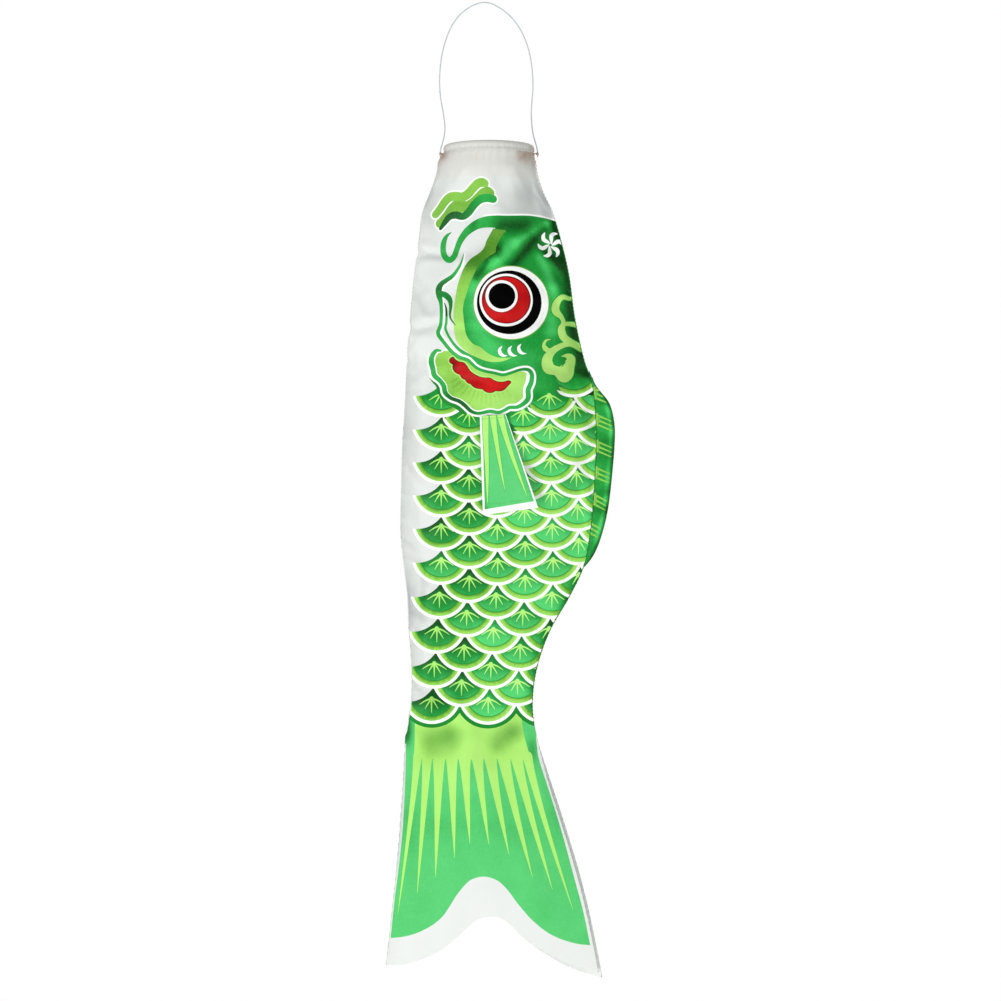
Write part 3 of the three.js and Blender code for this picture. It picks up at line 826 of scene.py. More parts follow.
# x, depth, green width, width of the white on its inner side
MUZZLE_RIM = [
    (-40.2, 292.4, 1.4, 1.0), (-44.0, 292.2, 3.0, 1.2), (-47.4, 296.1, 4.0, 1.2),
    (-48.4, 301.3, 4.5, 1.1), (-46.9, 307.6, 4.3, 1.0), (-45.7, 312.9, 4.3, 0.9),
    (-41.0, 317.3, 3.9, 0.7), (-37.8, 321.9, 4.1, 0.6), (-36.6, 327.4, 4.0, 0.5),
    (-31.9, 332.0, 3.2, 0.5), (-24.9, 334.7, 3.3, 0.6), (-19.7, 338.6, 3.3, 0.8),
    (-15.0, 343.0, 3.0, 1.0), (-8.7, 344.9, 2.6, 1.2), (0.8, 343.2, 2.9, 1.2),
    (7.9, 344.2, 2.8, 1.2), (13.1, 342.3, 2.8, 1.2), (17.2, 340.1, 2.9, 1.4),
    (23.4, 339.8, 3.0, 1.8), (28.6, 337.2, 3.6, 2.2), (32.8, 332.4, 4.2, 2.2),
    (32.9, 325.2, 4.3, 2.2), (35.5, 318.7, 4.0, 2.8), (35.8, 312.2, 3.5, 3.0),
    (32.8, 308.6, 3.0, 1.8), (26.5, 308.5, 2.3, 0.2), (18.9, 311.0, 2.4, 0), (11.8, 312.9, 2.6, 0),
    (4.1, 311.2, 2.4, 0), (-3.6, 309.7, 2.4, 0), (-10.1, 307.1, 2.5, 0), (-14.5, 303.2, 2.6, 0),
    (-17.9, 300.3, 2.8, 0), (-24.9, 297.9, 3.0, 0), (-30.2, 294.2, 3.0, 0), (-37.7, 285.4, 3.0, 0),
    (-42.5, 278.0, 3.4, 0), (-40.4, 270.5, 3.0, 0), (-39.8, 261.0, 2.8, 0), (-40.2, 252.4, 3.2, 0),
    (-41.6, 246.2, 5.0, 0), (-42.0, 240.6, 5.2, 0), (-39.8, 236.4, 4.2, 0), (-35.4, 233.4, 3.7, 0),
    (-30.6, 230.2, 3.2, 0), (-26.8, 225.6, 2.6, 0), (-23.8, 220.5, 1.9, 0), (-22.0, 215.4, 1.2, 0),
    (-21.0, 211.2, 0.4, 0),
]
MUZZLE_CLOSE = 35            # the row where the rim has come all the way round
LIPS = [
    [(-30.0, 297.8), (-28.1, 300.2), (-24.9, 302.0), (-21.0, 302.9), (-18.4, 305.8), (-15.9, 309.7),
     (-12.6, 312.2), (-8.7, 314.3), (-4.3, 315.5), (0.8, 315.8), (4.1, 317.7), (8.0, 319.0),
     (12.4, 319.0), (16.3, 317.9)],
    [(16.3, 317.9), (18.4, 318.8), (15.6, 321.9), (12.4, 325.1), (9.2, 326.1), (5.4, 325.8)],
    [(5.4, 325.8), (3.2, 327.2), (0.3, 327.5), (-3.0, 326.4), (-5.2, 324.4)],
    [(-5.2, 324.4), (-9.4, 324.0), (-12.6, 322.6), (-15.2, 320.0)],
    [(-15.2, 320.0), (-17.8, 319.1), (-19.7, 316.4)],
    [(-19.7, 316.4), (-22.3, 315.2), (-24.2, 312.2)],
    [(-24.2, 312.2), (-28.1, 310.3), (-30.0, 307.1), (-29.8, 303.9)],
    [(-29.8, 303.9), (-32.8, 301.6), (-32.4, 299.0), (-30.0, 297.8)],
]


def mouth_shade(x, depth):
    """The pale lime field between the lips and the green rim."""
    return 0.50 + 0.26 * ease(x, -32, 4) - 0.10 * bell(x, -28, 9) * bell(depth, 318, 12)


def muzzle_layers():
    """The muzzle's fill and the bands along its rim."""
    rows = np.array(MUZZLE_RIM)
    ring = rows[:MUZZLE_CLOSE]
    fill = np.vstack([smooth_curve(ring[:, :2]), [(-33, 291.0), (-37, 290.6)]])
    layers = []
    tip = [(-49.7, 315.4, 0.4), (-46.6, 318.6, 1.4), (-43.0, 321.8, 2.8), (-40.6, 327, 4.4),
           (-36, 333, 6), (-28, 338, 5), (-20, 344, 4)]
    layers.append(("dark_green", brush(tip), 0.62))
    layers.append(("white_ink", brush(rows[2:, :3], right=1.7), 0.62))
    layers.append(("white_ink", fill, 0.6))
    lime = smooth_curve(ring)
    along = unit(np.gradient(lime[:, :2], axis=0))
    inward = np.column_stack([along[:, 1], -along[:, 0]])
    lime = lime[:, :2] + inward * (lime[:, 2:3] / 2 + lime[:, 3:4])
    lime = np.vstack([lime, [(-33.4, 292.6), (-37.0, 292.4)]])
    layers.append(("lime", lime, mouth_shade))
    rim_shade = lambda x, depth: (
        0.58
        - 0.62 * bell(x, -25, 15) * ease(depth, 319, 332)
        - 0.30 * bell(x, 20, 24) * bell(depth, 308, 4)
        - 0.5 * (1 - ease(depth, 240, 258)) * ease(depth, 226, 240)
    )
    layers.append(("rim_green", brush(ring[:, :3]), rim_shade))
    layers.append(("rim_green", brush(rows[MUZZLE_CLOSE - 2:, :3]), rim_shade))
    branch = [(-41.5, 244.0, 4.4), (-36.4, 245.8, 5.0), (-32.8, 249.6, 4.4), (-32.0, 255.4, 2.8),
              (-32.6, 262.6, 1.8), (-31.2, 267.0, 1.4), (-28.2, 271.0, 0.7)]
    layers.append(("rim_green", brush(branch), 0.22))
    layers.append(("dark_green", brush([(-37.2, 252.4, 0.6), (-35.8, 257.2, 1.6), (-35.4, 263, 1.8)]), 0.2))
    return layers


def snout_inner_layers():
    """The green line that runs beside the snout and into the cheek, under the muzzle."""
    line = [(-35.4, 260, 1.6), (-35.6, 268.4, 2.1), (-36.4, 273.2, 2.2), (-34.4, 279.0, 2.1),
            (-30.0, 286.0, 2.2), (-25.3, 291.2, 2.5), (-20.2, 295.0, 3.2), (-14.5, 298.6, 4.2),
            (-8, 302.4, 6.0)]
    return [("rim_green", brush(line), 0.55)]


CREASE_LENGTHS = [6, 9, 7, 11, 8, 12, 7.5, 11, 9, 12, 8, 10, 7, 9]


def mouth_layers():
    """The creases beside the mouth, the lips and the open mouth."""
    lips = outline(*LIPS)
    layers = []
    crease_shade = lambda x, depth: mouth_shade(x, depth) - 0.12
    for i, length in enumerate(CREASE_LENGTHS):
        t = i / (len(CREASE_LENGTHS) - 1)
        turn = math.radians(-62 + 100 * t)
        start = np.array([-27.0 + 40 * t, 309.0 + 19 * math.sin(math.pi * (0.12 + 0.60 * t))])
        away = np.array([math.sin(turn), math.cos(turn)])
        middle = start + away * length * 0.5 + (0.3, 0.2)
        end = start + away * length
        layers.append(("lime", brush([(*start, 1.5), (*middle, 1.2), (*end, 0.4)], 2.5), crease_shade))
    layers.append(("lime", grown(lips, 1.5), 0.92))
    layers.append(("dark_red", grown(lips, 0.55), 0.35))
    lips_shade = lambda x, depth: 0.44 + 0.28 * bell(x, 2, 7) - 0.35 * bell(x, -30, 2.5)
    layers.append(("red", lips, lips_shade))
    return layers


def eye_layers():
    """The eye with its rings."""
    red_shade = lambda x, depth: (
        0.56 - 0.75 * bell(x, -5, 7) * bell(depth, 238, 9) - 0.16 * bell(x, 34, 9) * bell(depth, 244, 12)
    )
    white_shade = lambda x, depth: (
        0.85 - 0.55 * bell(np.hypot(x - 18, depth - 252), 28.8, 1.0) * ease(x, 24, 34)
    )
    return [
        ("lime", ellipse(18.6, 252.5, 32.0, 31.2), 0.30),
        ("white_ink", ellipse(18.6, 252.5, 31.3, 30.5), white_shade),
        ("black", ellipse(17.0, 252.2, 27.1, 26.7), 0.4),
        ("white_ink", ellipse(14.4, 250.3, 22.3, 22.1), 0.8),
        ("dark_red", ellipse(14.5, 250.1, 20.5, 20.0), 0.5),
        ("red", ellipse(14.4, 250.2, 19.7, 19.2), red_shade),
        ("dark_red", ellipse(10.7, 247.0, 14.0, 13.8), 0.4),
        ("white_ink", ellipse(10.6, 247.0, 13.5, 13.4), 0.85),
        ("black", ellipse(10.9, 246.9, 11.2, 10.9), 0.3),
    ]


def mark_layers():
    """Three crescents, the pinwheel and the clouds on the cheek."""
    layers = []
    crescent = [(11.0, 289.0, 0.4), (9.0, 291.6, 2.4), (9.6, 295.0, 3.1), (12.4, 296.9, 2.0),
                (15.2, 296.9, 0.4)]
    for x, depth in [(0, 0), (8.1, -0.2), (16.0, -2.0)]:
        layers.append(("white_ink", brush(shifted(crescent, x, depth), 1.0), 0.75))
    centre = (51.7, 203.1)
    for i in range(6):
        rows = []
        for radius, turn, width in [(1.6, -16, 1.1), (4.4, 8, 2.8), (7.5, 12, 3.4), (9.7, 0, 2.9),
                                    (11.0, -13, 1.2)]:
            angle = math.radians(12 + 60 * i + turn)
            x = centre[0] + radius * math.cos(angle) * 0.94
            rows.append((x, centre[1] - radius * math.sin(angle), width))
        layers.append(("white_ink", brush(rows, 1.0), 0.7))
    clouds = [
        [(73, 247.6, 3.0), (67.5, 248.2, 3.2), (62.5, 247.0, 4.2), (58.6, 249.4, 5.0),
         (56.0, 254.6, 6.4), (56.4, 259.4, 6.6), (60.6, 263.6, 4.0), (62.6, 268.6, 3.6),
         (60.8, 274.4, 6.2), (62.6, 280.6, 6.6), (68.0, 284.4, 5.6), (77, 289.0, 4.6)],
        [(62.0, 270.6, 2.8), (66.5, 269.4, 3.6), (76, 270.6, 4.0)],
        [(78, 291.2, 4.0), (69.0, 286.8, 3.6), (61.5, 287.8, 4.6), (54.0, 292.4, 5.4),
         (49.0, 299.2, 8.4), (50.0, 306.6, 10.2), (56.4, 309.2, 8.0), (63.4, 311.2, 14.2),
         (67.6, 304.6, 8.6), (68.2, 298.6, 8.0), (65.0, 296.4, 3.6), (61.0, 297.0, 0.6)],
        [(56.0, 289.0, 2.6), (51.0, 292.2, 3.4), (47.2, 290.6, 4.4), (46.0, 287.0, 2.6),
         (48.2, 283.6, 1.8), (52.0, 282.8, 0.4)],
        [(58.6, 312.4, 6.4), (60.6, 313.6, 8.4), (63.6, 314.4, 9.0), (66.2, 312.6, 8.0)],
    ]
    motif_shade = lambda x, depth: 0.55 - 0.25 * ease(x, 62, 74)
    for rows in clouds:
        layers.append(("head_green", grown(brush(rows), 0.7), 0.42))
    for rows in clouds:
        layers.append(("motif", brush(rows), motif_shade))
    return layers


TAIL_TIPS = [(-76.7, 764.9), (-60.3, 747.3), (-44.9, 733.7), (-28.9, 716.9), (-16.0, 704.6),
             (0.0, 705.6), (16.8, 713.7), (36.5, 732.9), (53.3, 743.6), (70.6, 761.0)]
TAIL_GAPS = [-63.6, -56.4, -47.5, -36.5, -25.8, -14.8, -4.5, 6.7, 18.0, 28.3, 36.4]
TAIL_GAP_DEPTH = 631.8


def neck_shade(x, depth):
    """Painted warm shadows in the gathers under the two corners of the mouth hem."""
    gathers = 0.86 + 0.14 * np.sin(np.arctan2(x - 41, depth - 120) * 21)
    right = 0.36 * streak(x, depth, 39, 125, 29, 131, 6.0) * gathers + 0.36 * bell(x, 39.5, 3.0)
    left = 0.26 * streak(x, depth, -43, 127, -38, 130, 3.6) + 0.12 * bell(x, -42, 6)
    fading = 1 - ease(depth, 136, WARM_SHADE_END)
    return 0.50 + 0.22 * ease(depth, 134, WARM_SHADE_END) - (right + left) * fading


def tail_layers():
    """The white ground and the print of the tail."""
    layers = []
    for ink, end, shade in [("white", 850, cloth_shade), ("white_with_painted_warm_shade", WARM_SHADE_END, neck_shade)]:
        layers.append((ink, polygon([(-120, 90), (120, 90), (120, end), (-120, end)], 8), shade))
    green = outline(
        [(-90, 588), (60, 588)],
        [(60, 588), (39.6, 612)],
        [(39.6, 612), (39.8, 618), (40.6, 626), (42.4, 636.5), (53.5, 671.0), (62.7, 701.6), (71.8, 735.2),
         (79.5, 764.1), (85.0, 791.2)],
        [(85.0, 791.2), (73.4, 789.8), (59.6, 785.6), (47.5, 779.2), (35.2, 768.8), (24.5, 756.5),
         (15.4, 744.4), (7.1, 736.7), (-3.4, 733.3), (-13.3, 735.2), (-19.4, 739.7), (-27.0, 748.9),
         (-33.2, 758.8), (-39.2, 767.3), (-48.4, 774.9), (-60.6, 781.0), (-72.8, 784.3),
         (-82.6, 785.3)],
        [(-82.6, 785.3), (-79.3, 753.5), (-75.4, 722.9), (-72.4, 692.4), (-70.4, 654.2),
         (-69.6, 622.1)],
        [(-69.6, 622.1), (-90, 622)],
        [(-90, 622), (-90, 588)],
    )
    # painted shade: very dark in the fold at the belly edge above the tail root; also darker in a band
    # across the tail and by the back edge at the root
    green_shade = lambda x, depth: (
        0.60 - 0.9 * bell(x, -71, 6) * (1 - ease(depth, 612, 632))
        - 0.14 * bell(depth, 690, 22) - 0.10 * bell(x, -66, 6) * bell(depth, 690, 40)
        - 0.30 * bell(x, 36, 5) * bell(depth, 628, 12)
    )
    layers.append(("tail_green", green, green_shade))
    # painted shade in the two dents at the tail root, over the valley folds there, and along the tail root
    tail_root_fold_shade = lambda x, depth: (
        0.64 - 0.44 * streak(x, depth, -48, 624, -34, 618, 13)
        - 0.40 * streak(x, depth, 8, 624, 20, 612, 10.5)
        - 0.12 * bell(depth, 612, 8)
    )
    panel = outline(
        [(-62.2, 586), (27.0, 586)],
        [(27.0, 586), (27.2, 600), (29.8, 616.1), (33.8, 630), (TAIL_GAPS[-1], TAIL_GAP_DEPTH + 3)],
        [(TAIL_GAPS[-1], TAIL_GAP_DEPTH + 3), (TAIL_GAPS[0], TAIL_GAP_DEPTH + 3)],
        [(TAIL_GAPS[0], TAIL_GAP_DEPTH + 3), (-62.5, 622.4), (-62.2, 600), (-62.2, 586)],
    )
    layers.append(("tail_lime", panel, tail_root_fold_shade))
    for i, (tip_x, tip_depth) in enumerate(TAIL_TIPS):
        left, right = TAIL_GAPS[i], TAIL_GAPS[i + 1]
        rows = []
        for share, width in [(0, 1.0), (0.1, 0.80), (0.28, 0.60), (0.5, 0.43), (0.75, 0.25), (1, 0.02)]:
            depth = TAIL_GAP_DEPTH + 0.8 + (tip_depth - TAIL_GAP_DEPTH) * share
            lean = share ** 1.12
            middle = (left + right) / 2 * (1 - lean) + tip_x * lean
            rows.append((middle, depth, (right - left) * width))
        layers.append(("tail_lime", brush(rows, 2.2), tail_root_fold_shade))
    for x, first, rows, _ in SCALE_COLUMNS[0:5:2]:
        top = first + SCALE_PITCH * (rows - 1)
        arc = scale_arc(scale_place(x, top), top + SCALE_CENTRE_DROP, SCALE_RADIUS + 3.2)
        layers.append(("scale_line", arc, 0.45))
    return layers


def side_print():
    """All layers of a side cloth, from the bottom one up."""
    return (
        tail_layers() + scale_field() + head_layers() + first_scales() + eyebrow_layers()
        + snout_inner_layers() + muzzle_layers() + mouth_layers() + eye_layers() + mark_layers()
    )


# ---- from layers to a mesh ----------------------------------------------------------------

def inside(points, loop):
    """Which points lie inside a closed outline, by its winding number."""
    result = np.zeros(len(points), bool)
    low, high = loop.min(0), loop.max(0)
    near = np.flatnonzero(np.all((points >= low) & (points <= high), axis=1))
    if not len(near):
        return result
    px, py = points[near, 0][:, None], points[near, 1][:, None]
    x0, y0 = loop[:, 0], loop[:, 1]
    x1, y1 = np.roll(x0, -1), np.roll(y0, -1)
    turn = (x1 - x0) * (py - y0) - (px - x0) * (y1 - y0)
    up = (y0 <= py) & (y1 > py) & (turn > 0)
    down = (y0 > py) & (y1 <= py) & (turn < 0)
    result[near] = (up.sum(1) - down.sum(1)) != 0
    return result


def triangulate(border, loops, spacing):
    """Triangles of a flat pattern that keep every outline as edges."""
    points, links = [], []
    for loop in [border, *loops]:
        first = sum(map(len, points))
        points.append(loop)
        count = len(loop)
        links += [(first + i, first + (i + 1) % count) for i in range(count)]
    fixed = np.vstack(points)
    low, high = border.min(0), border.max(0)
    columns = np.arange(low[0], high[0], spacing)
    rows = np.arange(low[1], high[1], spacing * 0.87)
    grid = np.array([
        (x + (0.5 * spacing if i % 2 else 0), y) for i, y in enumerate(rows) for x in columns
    ])
    grid = grid[inside(grid, border)]
    tree = kdtree.KDTree(len(fixed))
    for i, (x, y) in enumerate(fixed):
        tree.insert((x, y, 0), i)
    tree.balance()
    grid = [p for p in grid if tree.find((p[0], p[1], 0))[2] > 0.55 * spacing]
    every = np.vstack([fixed, grid])
    result = geometry.delaunay_2d_cdt([Vector(p) for p in every], links, [], 0, 1e-4, False)
    flat = np.array([(v.x, v.y) for v in result[0]])
    triangles = np.array([f for f in result[2] if len(f) == 3])
    centres = flat[triangles].mean(1)
    used, triangles = np.unique(triangles[inside(centres, border)], return_inverse=True)
    return flat[used], triangles.reshape(-1, 3)


def paint(flat, triangles, layers):
    """Each triangle's ink and the number of its layer: the top layer over it wins."""
    centres = flat[triangles].mean(1)
    inks = np.zeros(len(triangles), int)
    owner = np.full(len(triangles), -1)
    for number in range(len(layers) - 1, -1, -1):
        free = np.flatnonzero(owner < 0)
        hit = free[inside(centres[free], layers[number][1])]
        owner[hit] = number
        inks[hit] = SLOTS[layers[number][0]]
    return inks, owner


def corner_shades(spots, owner, layers):
    """spots holds each triangle's three places as x and depth."""
    shades = np.full((len(owner), 3), 0.5)
    for number in np.unique(owner[owner >= 0]):
        chosen = owner == number
        shade = layers[number][2]
        if callable(shade):
            shade = shade(spots[chosen, :, 0], spots[chosen, :, 1])
        shades[chosen] = shade
    return np.clip(shades, 0, 1)


def new_object(name, mesh):
    """An object in the scene from a mesh."""
    piece = bpy.data.objects.new(name, mesh)
    bpy.context.scene.collection.objects.link(piece)
    return piece


def mesh_of(name, points, faces):
    """A smooth-shaded mesh of triangles, from millimetres."""
    mesh = bpy.data.meshes.new(name)
    mesh.vertices.add(len(points))
    mesh.vertices.foreach_set("co", (np.asarray(points) * MM).astype(np.float32).ravel())
    mesh.loops.add(3 * len(faces))
    mesh.loops.foreach_set("vertex_index", np.asarray(faces, np.int32).ravel())
    mesh.polygons.add(len(faces))
    mesh.polygons.foreach_set("loop_start", np.arange(0, 3 * len(faces), 3, dtype=np.int32))
    mesh.update(calc_edges=True)
    mesh.shade_smooth()
    return mesh


def set_point_shades(mesh, shades):
    """Writes the shade attribute that the satin's material reads."""
    shade = mesh.attributes.new("shade", "FLOAT", "POINT")
    shade.data.foreach_set("value", shades.astype(np.float32))


def border_faces(faces, offset):
    """Triangles that join the border of a sheet to its copy, and the face beside each one."""
    directed = {}
    for number, (a, b, c) in enumerate(faces.tolist()):
        for pair in ((a, b), (b, c), (c, a)):
            directed[pair] = number
    found, beside = [], []
    for (a, b), number in directed.items():
        if (b, a) not in directed:
            found.append((b, a, a + offset))
            found.append((b, a + offset, b + offset))
            beside += [number, number]
    return np.array(found), np.array(beside)


INK_COLOURS = {SLOTS[name]: linear(tones[1]) for name, tones in INKS.items()}


def surface_normals(surface, flat, sign):
    """Unit normals of a surface over the flat pattern, from its slopes a little to each side."""
    step = 0.4
    across = surface(flat + (step, 0)) - surface(flat - (step, 0))
    down = surface(flat + (0, step)) - surface(flat - (0, step))
    return unit(np.cross(across, down) * sign)


def printed_sheet(name, flat, faces, inks, shades, front, back, flip, reverse):
    """A closed thin piece with the print on its front, and its reverse or the print behind.

    front and back give places for flat points; flip says that the front faces the other way.
    """
    fronts, backs = front(flat), back(flat)
    normals = surface_normals(front, flat, -1 if flip else 1)
    if reverse:
        behind = -normals
    else:
        behind = normals * (1, -1, 1)
    top = faces[:, ::-1] if flip else faces
    under = top[:, ::-1] + len(flat)
    rim, beside = border_faces(top, len(flat))
    everything = np.vstack([top, under, rim])
    mesh = mesh_of(name, np.vstack([fronts, backs]), everything)
    for material in MATERIALS.values():
        mesh.materials.append(material)
    back_inks = np.full(len(inks), SLOTS["reverse"]) if reverse else inks
    mesh.polygons.foreach_set(
        "material_index",
        np.concatenate([inks, back_inks, inks[beside]]).astype(np.int32),
    )
    turned = shades[:, ::-1] if flip else shades
    rim_shade = np.repeat(shades[beside].mean(1), 3)
    every_shade = np.concatenate([turned.ravel(), turned[:, ::-1].ravel(), rim_shade])
    mesh.attributes.new("shade", "FLOAT", "CORNER").data.foreach_set(
        "value", every_shade.astype(np.float32)
    )
    if reverse:
        colours = np.array([INK_COLOURS[i] for i in inks])
        colours = np.concatenate([colours, colours, colours[beside]])
        corner = np.repeat(np.column_stack([colours, np.ones(len(colours))]), 3, axis=0)
        mesh.attributes.new("print", "FLOAT_COLOR", "CORNER").data.foreach_set(
            "color", corner.astype(np.float32).ravel()
        )
    mesh.normals_split_custom_set_from_vertices(np.vstack([normals, behind]).tolist())
    return new_object(name, mesh)


# ---- cloth simulation ---------------------------------------------------------------------

SETTLE_FRAMES = 28
CLOTH_SLACK = 0.045          # how much larger the cloth is than its seams


def settle_tube():
    """Lets a coarse copy of the tube buckle: its cloth is a little too large for its seams."""
    depth, u = np.meshgrid(
        np.linspace(SETTLED_TOP, SETTLED_END, SETTLED_ROWS),
        np.linspace(-1, 1, SETTLED_COLUMNS), indexing="ij",
    )
    left, right = panel_points(u, depth, LEFT), panel_points(u, depth, RIGHT)
    start = np.concatenate([left, right[:, -2:0:-1]], axis=1)
    around = start.shape[1]
    faces = [
        (r * around + c, r * around + (c + 1) % around,
         (r + 1) * around + (c + 1) % around, (r + 1) * around + c)
        for r in range(SETTLED_ROWS - 1) for c in range(around)
    ]
    mesh = bpy.data.meshes.new("settling")
    mesh.from_pydata((start.reshape(-1, 3) * MM).tolist(), [], faces)
    tube_copy = new_object("settling", mesh)
    pins = tube_copy.vertex_groups.new(name="pins")
    last = SETTLED_ROWS - 1
    held = [
        r * around + c for r in range(SETTLED_ROWS) for c in range(around)
        if r in (0, last) or c in (0, SETTLED_COLUMNS - 1)
    ]
    pins.add(held, 1.0, "REPLACE")
    cloth = tube_copy.modifiers.new("cloth", "CLOTH")
    cloth.settings.quality = 8
    cloth.settings.mass = 0.01
    cloth.settings.tension_stiffness = 12
    cloth.settings.compression_stiffness = 12
    cloth.settings.shear_stiffness = 4
    cloth.settings.bending_stiffness = 0.02
    cloth.settings.air_damping = 2
    cloth.settings.vertex_group_mass = "pins"
    cloth.settings.shrink_min = -CLOTH_SLACK
    cloth.settings.effector_weights.gravity = 0.01
    cloth.point_cache.frame_end = SETTLE_FRAMES
    scene = bpy.context.scene
    for frame_number in range(1, SETTLE_FRAMES + 1):
        scene.frame_set(frame_number)
    settled_copy = tube_copy.evaluated_get(bpy.context.evaluated_depsgraph_get())
    places = np.empty(3 * len(mesh.vertices), np.float32)
    settled_copy.data.vertices.foreach_get("co", places)
    places = places.reshape(SETTLED_ROWS, around, 3) / MM
    scene.frame_set(1)
    bpy.data.objects.remove(tube_copy)
    bpy.data.meshes.remove(mesh)
    moved = places[:, :, 1] - start[:, :, 1]
    back_again = np.concatenate([moved[:, :1], moved[:, :SETTLED_COLUMNS - 2:-1]], axis=1)
    for side, offsets in ((LEFT, moved[:, :SETTLED_COLUMNS]), (RIGHT, back_again)):
        SETTLED[side] = np.clip(side * offsets, -SETTLED_LIMIT, SETTLED_LIMIT)


# ---- the two side cloths ------------------------------------------------------------------

FORK = {                     # the tail's lower edge, as x and depth
    LEFT: [(-86.5, 808.0), (-69.7, 807.0), (-48.7, 799.7), (-33.6, 790.4), (-19.5, 777.5),
           (-9.5, 769.4), (2.0, 766.9), (11.5, 769.0), (20.5, 776.2), (29.4, 785.4), (46.0, 796.4),
           (69.0, 807.8), (91.6, 813.6)],
    RIGHT: [(-86.5, 808.0), (-69.7, 807.2), (-48.7, 799.9), (-33.6, 790.6), (-19.5, 777.7),
            (-9.5, 769.8), (2.0, 767.4), (11.5, 769.9), (20.5, 777.4), (29.4, 786.6), (46.0, 798.6),
            (69.0, 811.4), (94.6, 819.2)],
}


GRID_SPACING = 3.0
SEAM_SPACING = 2.6
MOUTH_POINTS = 58
INNER_GAP = 0.02             # the inner faces stay this far from the middle plane


def side_cloth(side, layers, name):
    """One printed cloth, from the mouth to the fork of the tail."""
    fork = to_pattern(smooth_curve(FORK[side], 2.4), side)
    fork[0, 0], fork[-1, 0] = -PATTERN_HALF, PATTERN_HALF
    down = np.arange(TOP, fork[-1, 1], SEAM_SPACING)
    up = np.arange(fork[0, 1], TOP, -SEAM_SPACING)
    wide = np.linspace(-PATTERN_HALF, PATTERN_HALF, MOUTH_POINTS)
    border = np.vstack([
        np.column_stack([wide[:-1], np.full(len(wide) - 1, TOP)]),
        np.column_stack([np.full(len(down), PATTERN_HALF), down]),
        fork[::-1],
        np.column_stack([np.full(len(up) - 1, -PATTERN_HALF), up[1:]]),
    ])
    pattern_layers = [(ink, pattern_outline(loop, side), shade) for ink, loop, shade in layers]
    flat, faces = triangulate(border, [layer[1] for layer in pattern_layers], GRID_SPACING)
    inks, owner = paint(flat, faces, pattern_layers)

    def front(points):
        return panel_points(points[:, 0] / PATTERN_HALF, points[:, 1], side)

    def back(points):
        inner = front(points) - surface_normals(front, points, side) * CLOTH_THICKNESS
        inner[:, 1] = side * np.maximum(side * inner[:, 1], INNER_GAP)
        return inner

    places = front(flat)
    spots = np.stack([places[faces][:, :, 0], -places[faces][:, :, 2]], axis=-1)
    shades = corner_shades(spots, owner, pattern_layers)
    piece = printed_sheet(name, flat, faces, inks, shades, front, back, side == LEFT, True)
    word = dict(SIDES)[side]
    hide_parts(f"{word}_side_panel", f"{word}_tail_panel")
    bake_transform(piece)
    return piece


# ---- cord, knots and stitches -------------------------------------------------------------

CORD_DIAMETER = 1.1
STRANDS = 3
TWIST = 1.5                  # radians per millimetre
KNOT_SIDES = 10
CORD_ROUTE = [
    (40.9, 0, -124.7), (40.1, 0, -120.5), (38.8, 0, -116.0), (37.4, 0, -111.0), (36.4, 0, -105.0),
    (35.8, 0, -98.0), (35.6, 0, -90.0), (36.2, 0, -81.5), (36.9, 0, -72.0), (36.8, 0, -62.0),
    (35.6, 0, -50.0), (33.2, 0, -38.5), (29.4, 0, -27.8), (24.2, 0, -18.4), (17.4, 0, -10.2),
    (9.4, 0, -3.9), (0.0, 0, 0.55), (-8.8, 0, 0.2), (-18.4, 0, -4.4), (-26.4, 0, -11.6),
    (-32.8, 0, -21.8), (-37.2, 0, -33.6), (-40.0, 0, -46.0), (-41.4, 0, -59.0), (-41.5, 0, -69.5),
    (-40.6, 0, -80.0), (-38.8, 0, -90.0), (-37.5, 0, -98.5), (-37.1, 0, -106.0),
    (-37.8, 0, -112.0), (-39.0, 0, -116.8), (-40.2, 0, -120.8), (-40.9, 0, -124.7),
]


def walked_along(line):
    """The distance from a line's start to each of its points."""
    return np.concatenate([[0], np.cumsum(np.linalg.norm(np.diff(line, axis=0), axis=1))])


def tube(line, radii, sides, lobes=0, lobe_share=0.0, twist=0.0):
    """Points and faces of a closed tube. Lobes that twist along it look like strands."""
    count = len(line)
    along = unit(np.gradient(line, axis=0))
    normal = np.cross(along[0], (0.0, 1.0, 0.0))
    if np.linalg.norm(normal) < 0.1:
        normal = np.cross(along[0], (1.0, 0.0, 0.0))
    walked = walked_along(line)
    angle = np.arange(sides) * 2 * math.pi / sides
    points = []
    for i in range(count):
        normal = normal - along[i] * (normal @ along[i])
        normal /= np.linalg.norm(normal)
        other = np.cross(along[i], normal)
        turn = twist * walked[i]
        reach = radii[i] * (1 - lobe_share + lobe_share * np.cos(lobes * (angle - turn)))
        points.append(line[i] + reach[:, None] * (
            np.cos(angle)[:, None] * normal + np.sin(angle)[:, None] * other
        ))
    points = np.vstack([*points, line[:1], line[-1:]])
    faces = []
    for i in range(count - 1):
        for k in range(sides):
            a, b = i * sides + k, i * sides + (k + 1) % sides
            faces += [(a, b, b + sides), (a, b + sides, a + sides)]
    first, last = count * sides, count * sides + 1
    end = (count - 1) * sides
    for k in range(sides):
        faces.append((first, (k + 1) % sides, k))
        faces.append((last, end + k, end + (k + 1) % sides))
    return points, np.array(faces)


def piece_of(name, parts, material):
    """One object of several closed bodies."""
    points, faces, offset = [], [], 0
    for some, triangles in parts:
        points.append(some)
        faces.append(triangles + offset)
        offset += len(some)
    mesh = mesh_of(name, np.vstack(points), np.vstack(faces))
    mesh.materials.append(material)
    return new_object(name, mesh)


